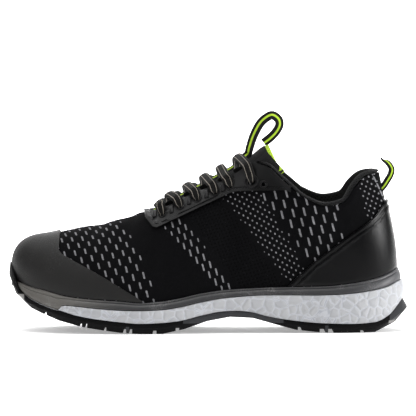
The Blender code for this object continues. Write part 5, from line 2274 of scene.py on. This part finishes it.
@dataclass
class Sole:
    """The rim band, the bead foam, the rubber outsole and the insole.

    A profile's rows are a share of the height and how far the side lies inside its plain line.
    """

    columns: int = 130
    rim_profile: Route = (
        (0.00, 0.0007), (0.05, 0.0002), (0.12, 0.0), (0.30, -0.0002), (0.50, -0.0003),
        (0.66, -0.0001), (0.72, 0.0001), (0.75, 0.0006), (0.78, 0.0001), (0.86, 0.0),
        (0.94, 0.0002), (0.985, 0.0007), (1.00, 0.0013),
    )
    foam_profile: Route = (
        (0.0, 0.0010), (0.06, 0.0004), (0.2, 0.0001), (0.45, -0.0003), (0.7, -0.0002),
        (0.92, 0.0003), (1.0, 0.0009),
    )
    insole_thickness: float = 0.0045
    insole_dish: float = 0.0035
    insole_edge: float = 0.0014

    def stack(self, name: str, rings: list[Array], closed: bool) -> Piece:
        """A band of stacked rings; closed joins the last to the first.

        Args:
            name: its name.
            rings: closed rings from the bottom up.
            closed: True for a band, False for a body with flat ends.

        Returns:
            The finished piece.
        """
        bm = bmesh.new()
        rows = [[bm.verts.new(point) for point in points] for points in rings]
        pairs = list(zip(rows, rows[1:])) + ([(rows[-1], rows[0])] if closed else [])
        for low, high in pairs:
            for i in range(len(low)):
                j = (i + 1) % len(low)
                bm.faces.new([low[i], low[j], high[j], high[i]])
        if not closed:
            for row, turned in ((rows[0], False), (rows[-1], True)):
                half = len(row) // 2
                for k in range(half):
                    cells = [row[k], row[-k] if k else row[0], row[-(k + 1)], row[k + 1]]
                    cells = list(dict.fromkeys(cells))
                    if len(cells) > 2:
                        bm.faces.new(cells[::-1] if turned else cells)
        seal(bm)
        return new_object(name, bm)

    def rim(self) -> Piece:
        """The band that holds the upper: a soft belly, a rounded lip and a fine line below it.

        Returns:
            The finished piece.
        """
        at = column_feet(0.0, 1.0, self.columns)
        foot = np.maximum(LAST.level(2, at), LAST.level(1, at)) + LAST.gap
        head = LAST.level(3, at)
        inset_foot, inset_head = LAST.inset(2, at), LAST.inset(3, at)
        inner = LAST.inset(4, at) - 0.0006
        rings = []
        for share, more in self.rim_profile:
            inset = inset_foot + (inset_head - inset_foot) * smooth_step(np.array([share]))[0] + more
            rings.append(LAST.ring(at, np.minimum(inset, inner - 0.0002), foot + (head - foot) * share))
        rings.append(LAST.ring(at, inner, head))
        rings.append(LAST.ring(at, inner, foot))
        piece = self.stack("rim_band", rings, True)
        return settle(piece, RIM, 50, "midsole_rim")

    def foam(self) -> Piece:
        """The bead foam's side between outsole and rim, and its bed inside.

        Returns:
            The finished piece.
        """
        at = column_feet(0.0, 1.0, self.columns)
        edge = LAST.level(1, at)
        line = np.maximum(LAST.level(2, at), edge)
        inset = LAST.inset(1, at)
        low = edge + LAST.gap
        rings = [LAST.ring(at, inset + 0.010, low)]
        for share, more in self.foam_profile:
            rings.append(LAST.ring(at, inset + more, low + (line - low) * share))
        rings.append(LAST.ring(at, LAST.inset(4, at) - 0.0002, line))
        rings.append(LAST.ring(at, LAST.inset(4, at) + 0.0010, LAST.level(4, at)))
        piece = self.stack("bead_midsole", rings, False)
        return settle(piece, FOAM, 50, "midsole_foam")

    def insole(self) -> Piece:
        """The cloth-covered insole, padded and dished at the heel.

        Returns:
            The finished piece.
        """
        at = column_feet(0.0, 1.0, self.columns)
        inset = LAST.inset(4, at) + 0.0022 + 2 * LAST.gap
        bed = LAST.level(4, at) + LAST.gap
        outer = LAST.inset_side(at, Side.OUTER, inset)
        inner = LAST.inset_side(at, Side.INNER, inset)
        shares = np.linspace(0, 1, 25)
        dish = self.insole_dish * np.clip((at - 0.20) / 0.45, 0, 1)
        across = 1 - (2 * shares - 1) ** 2
        flat = outer[:, None, :] + (inner - outer)[:, None, :] * shares[None, :, None]
        low = bed[:, None] - dish[:, None] * across[None, :]
        top = low + self.insole_thickness - self.insole_edge * (1 - across[None, :]) ** 6
        upper_face = np.concatenate([flat, top[..., None]], axis=2)
        lower_face = np.concatenate([flat, low[..., None]], axis=2)
        wrap = flat.copy()
        piece = sheet_solid("insole_pad", Grid(upper_face, wrap, False), Grid(lower_face, wrap, False))
        settle(piece, INSOLE_CLOTH, 50, "insole")
        return piece

    def outsole(self) -> Piece:
        """The rubber outsole, its cut edges rounded.

        Returns:
            The finished piece.
        """
        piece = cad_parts["outsole"].copy()
        piece.data = piece.data.copy()
        piece.name = "outsole_rubber"
        piece.parent = None
        for key in list(piece.keys()):
            del piece[key]
        bpy.context.scene.collection.objects.link(piece)
        bm = bmesh.new()
        bm.from_mesh(piece.data)
        bmesh.ops.remove_doubles(bm, verts=bm.verts, dist=2e-6)
        bmesh.ops.dissolve_limit(bm, angle_limit=math.radians(1.0), verts=bm.verts, edges=bm.edges)
        bm.to_mesh(piece.data)
        bm.free()
        soften(piece, 0.0004, 30.0)
        return settle(piece, OUTSOLE, 35, "outsole")

    def build(self) -> list[Piece]:
        """Makes the four layers."""
        return [self.rim(), self.foam(), self.outsole(), self.insole()]


@dataclass
class Studio:
    """A pale floor that rises behind the shoe, soft lights and a long lens."""

    pixel: float = 0.000762
    view: int = 416
    ground: float = 331.5
    distance: float = 2.6
    near: float = 0.040
    tilt: float = math.radians(2.0)
    lamps: tuple[tuple[str, Place, Place, float, float], ...] = (
        # name, place, point it looks at, size, power
        ("top_light", (-0.2, -0.1, 1.7), (0.0, 0.0, 0.06), 1.5, 25.0),
        ("key_light", (-1.1, -1.1, 1.1), (-0.04, 0.0, 0.06), 0.7, 6.0),
        ("heel_light", (1.5, -0.25, 0.5), (0.13, 0.0, 0.06), 0.45, 18.0),
        ("paper_light", (0.0, 0.9, 1.6), (0.0, 2.5, 0.5), 1.6, 110.0),
    )

    def floor(self) -> Piece:
        """The floor and its rise, as one swept sheet.

        Returns:
            The finished piece.
        """
        deselect()
        bpy.ops.mesh.primitive_plane_add(size=1.0)
        piece = bpy.context.object
        piece.name = "studio_floor"
        piece.data.transform(Matrix.Diagonal((8.0, 5.6, 1.0, 1.0)))
        piece.data.transform(Matrix.Translation((0.0, -1.0, 0.0)))
        bpy.ops.object.mode_set(mode="EDIT")
        bpy.ops.mesh.select_all(action="DESELECT")
        bpy.ops.mesh.select_mode(type="EDGE")
        bpy.ops.object.mode_set(mode="OBJECT")
        for edge in piece.data.edges:
            edge.select = all(piece.data.vertices[i].co.y > 1.5 for i in edge.vertices)
        bpy.ops.object.mode_set(mode="EDIT")
        for y, z in ((0.30, 0.03), (0.25, 0.10), (0.20, 0.25), (0.08, 0.40), (0.0, 2.4)):
            bpy.ops.mesh.extrude_region_move(TRANSFORM_OT_translate={"value": (0.0, y, z)})
        bpy.ops.object.mode_set(mode="OBJECT")
        smooth(piece, 60)
        material = bpy.data.materials.new("studio_paper")
        material.use_nodes = True
        shader = material.node_tree.nodes["Principled BSDF"]
        Wires(material.node_tree).fill(
            shader,
            Base_Color=Colour(0.90, 0.90, 0.90),
            Roughness=0.8,
            Emission_Color=Colour(1.0, 1.0, 1.0),
            Emission_Strength=0.36,
        )
        piece.data.materials.append(material)
        return piece

    def light(self, name: str, place: Place, aim: Place, size: float, power: float) -> None:
        """A square soft light that looks at a point.

        Args:
            name: its name.
            place: where it hangs.
            aim: where it points.
            size: its edge length.
            power: its power in watts.
        """
        data = bpy.data.lights.new(name, "AREA")
        data.size = size
        data.energy = power
        lamp = bpy.data.objects.new(name, data)
        lamp.location = place
        lamp.rotation_euler = (Vector(aim) - Vector(place)).to_track_quat("-Z", "Y").to_euler()
        bpy.context.scene.collection.objects.link(lamp)

    def camera(self) -> None:
        """The camera, level with the shoe's outer side and a little above it."""
        half = self.view / 2
        low = self.near * math.sin(self.tilt)
        aim = Vector((0.0, 0.0, ((self.ground - half) * self.pixel - low) / math.cos(self.tilt)))
        data = bpy.data.cameras.new("side_view")
        data.sensor_width = 36.0
        data.lens = 36.0 * self.distance / (self.view * self.pixel)
        data.clip_start = 0.1
        data.clip_end = 50.0
        camera = bpy.data.objects.new("side_view", data)
        back = Vector((0.0, -math.cos(self.tilt), math.sin(self.tilt)))
        camera.location = aim + back * self.distance
        camera.rotation_euler = (-back).to_track_quat("-Z", "Y").to_euler()
        bpy.context.scene.collection.objects.link(camera)
        bpy.context.scene.camera = camera

    def build(self) -> None:
        """Makes floor, lights, sky and camera."""
        self.floor()
        world = bpy.data.worlds.new("studio_sky")
        world.use_nodes = True
        sky = world.node_tree.nodes["Background"]
        Wires(world.node_tree).fill(sky, Color=Colour(1.0, 1.0, 1.0), Strength=0.12)
        bpy.context.scene.world = world
        bpy.context.scene.view_settings.view_transform = "Standard"
        for lamp in self.lamps:
            self.light(*lamp)
        self.camera()


def main() -> None:
    """Builds every piece of the shoe in order and reports it."""
    logging.basicConfig(level=logging.INFO, format="%(message)s")
    Studio().build()
    pieces = Sole().build()
    pieces.append(Upper().build())
    for overlay in (TOE_GUARD, COUNTER, *STAYS):
        pieces.append(overlay.build())
    for stay in STAYS:
        pieces.append(EyeletRings(stay).build())
    pieces += TONGUE.build()
    pieces.append(CollarRoll().build())
    pieces += Laces().build()
    pieces += [TongueTape().build(), HeelLoop().build()]
    for piece in pieces:
        log.info("%s: %d faces", piece.name, len(piece.data.polygons))
    deselect()


if __name__ == "__main__":
    main()
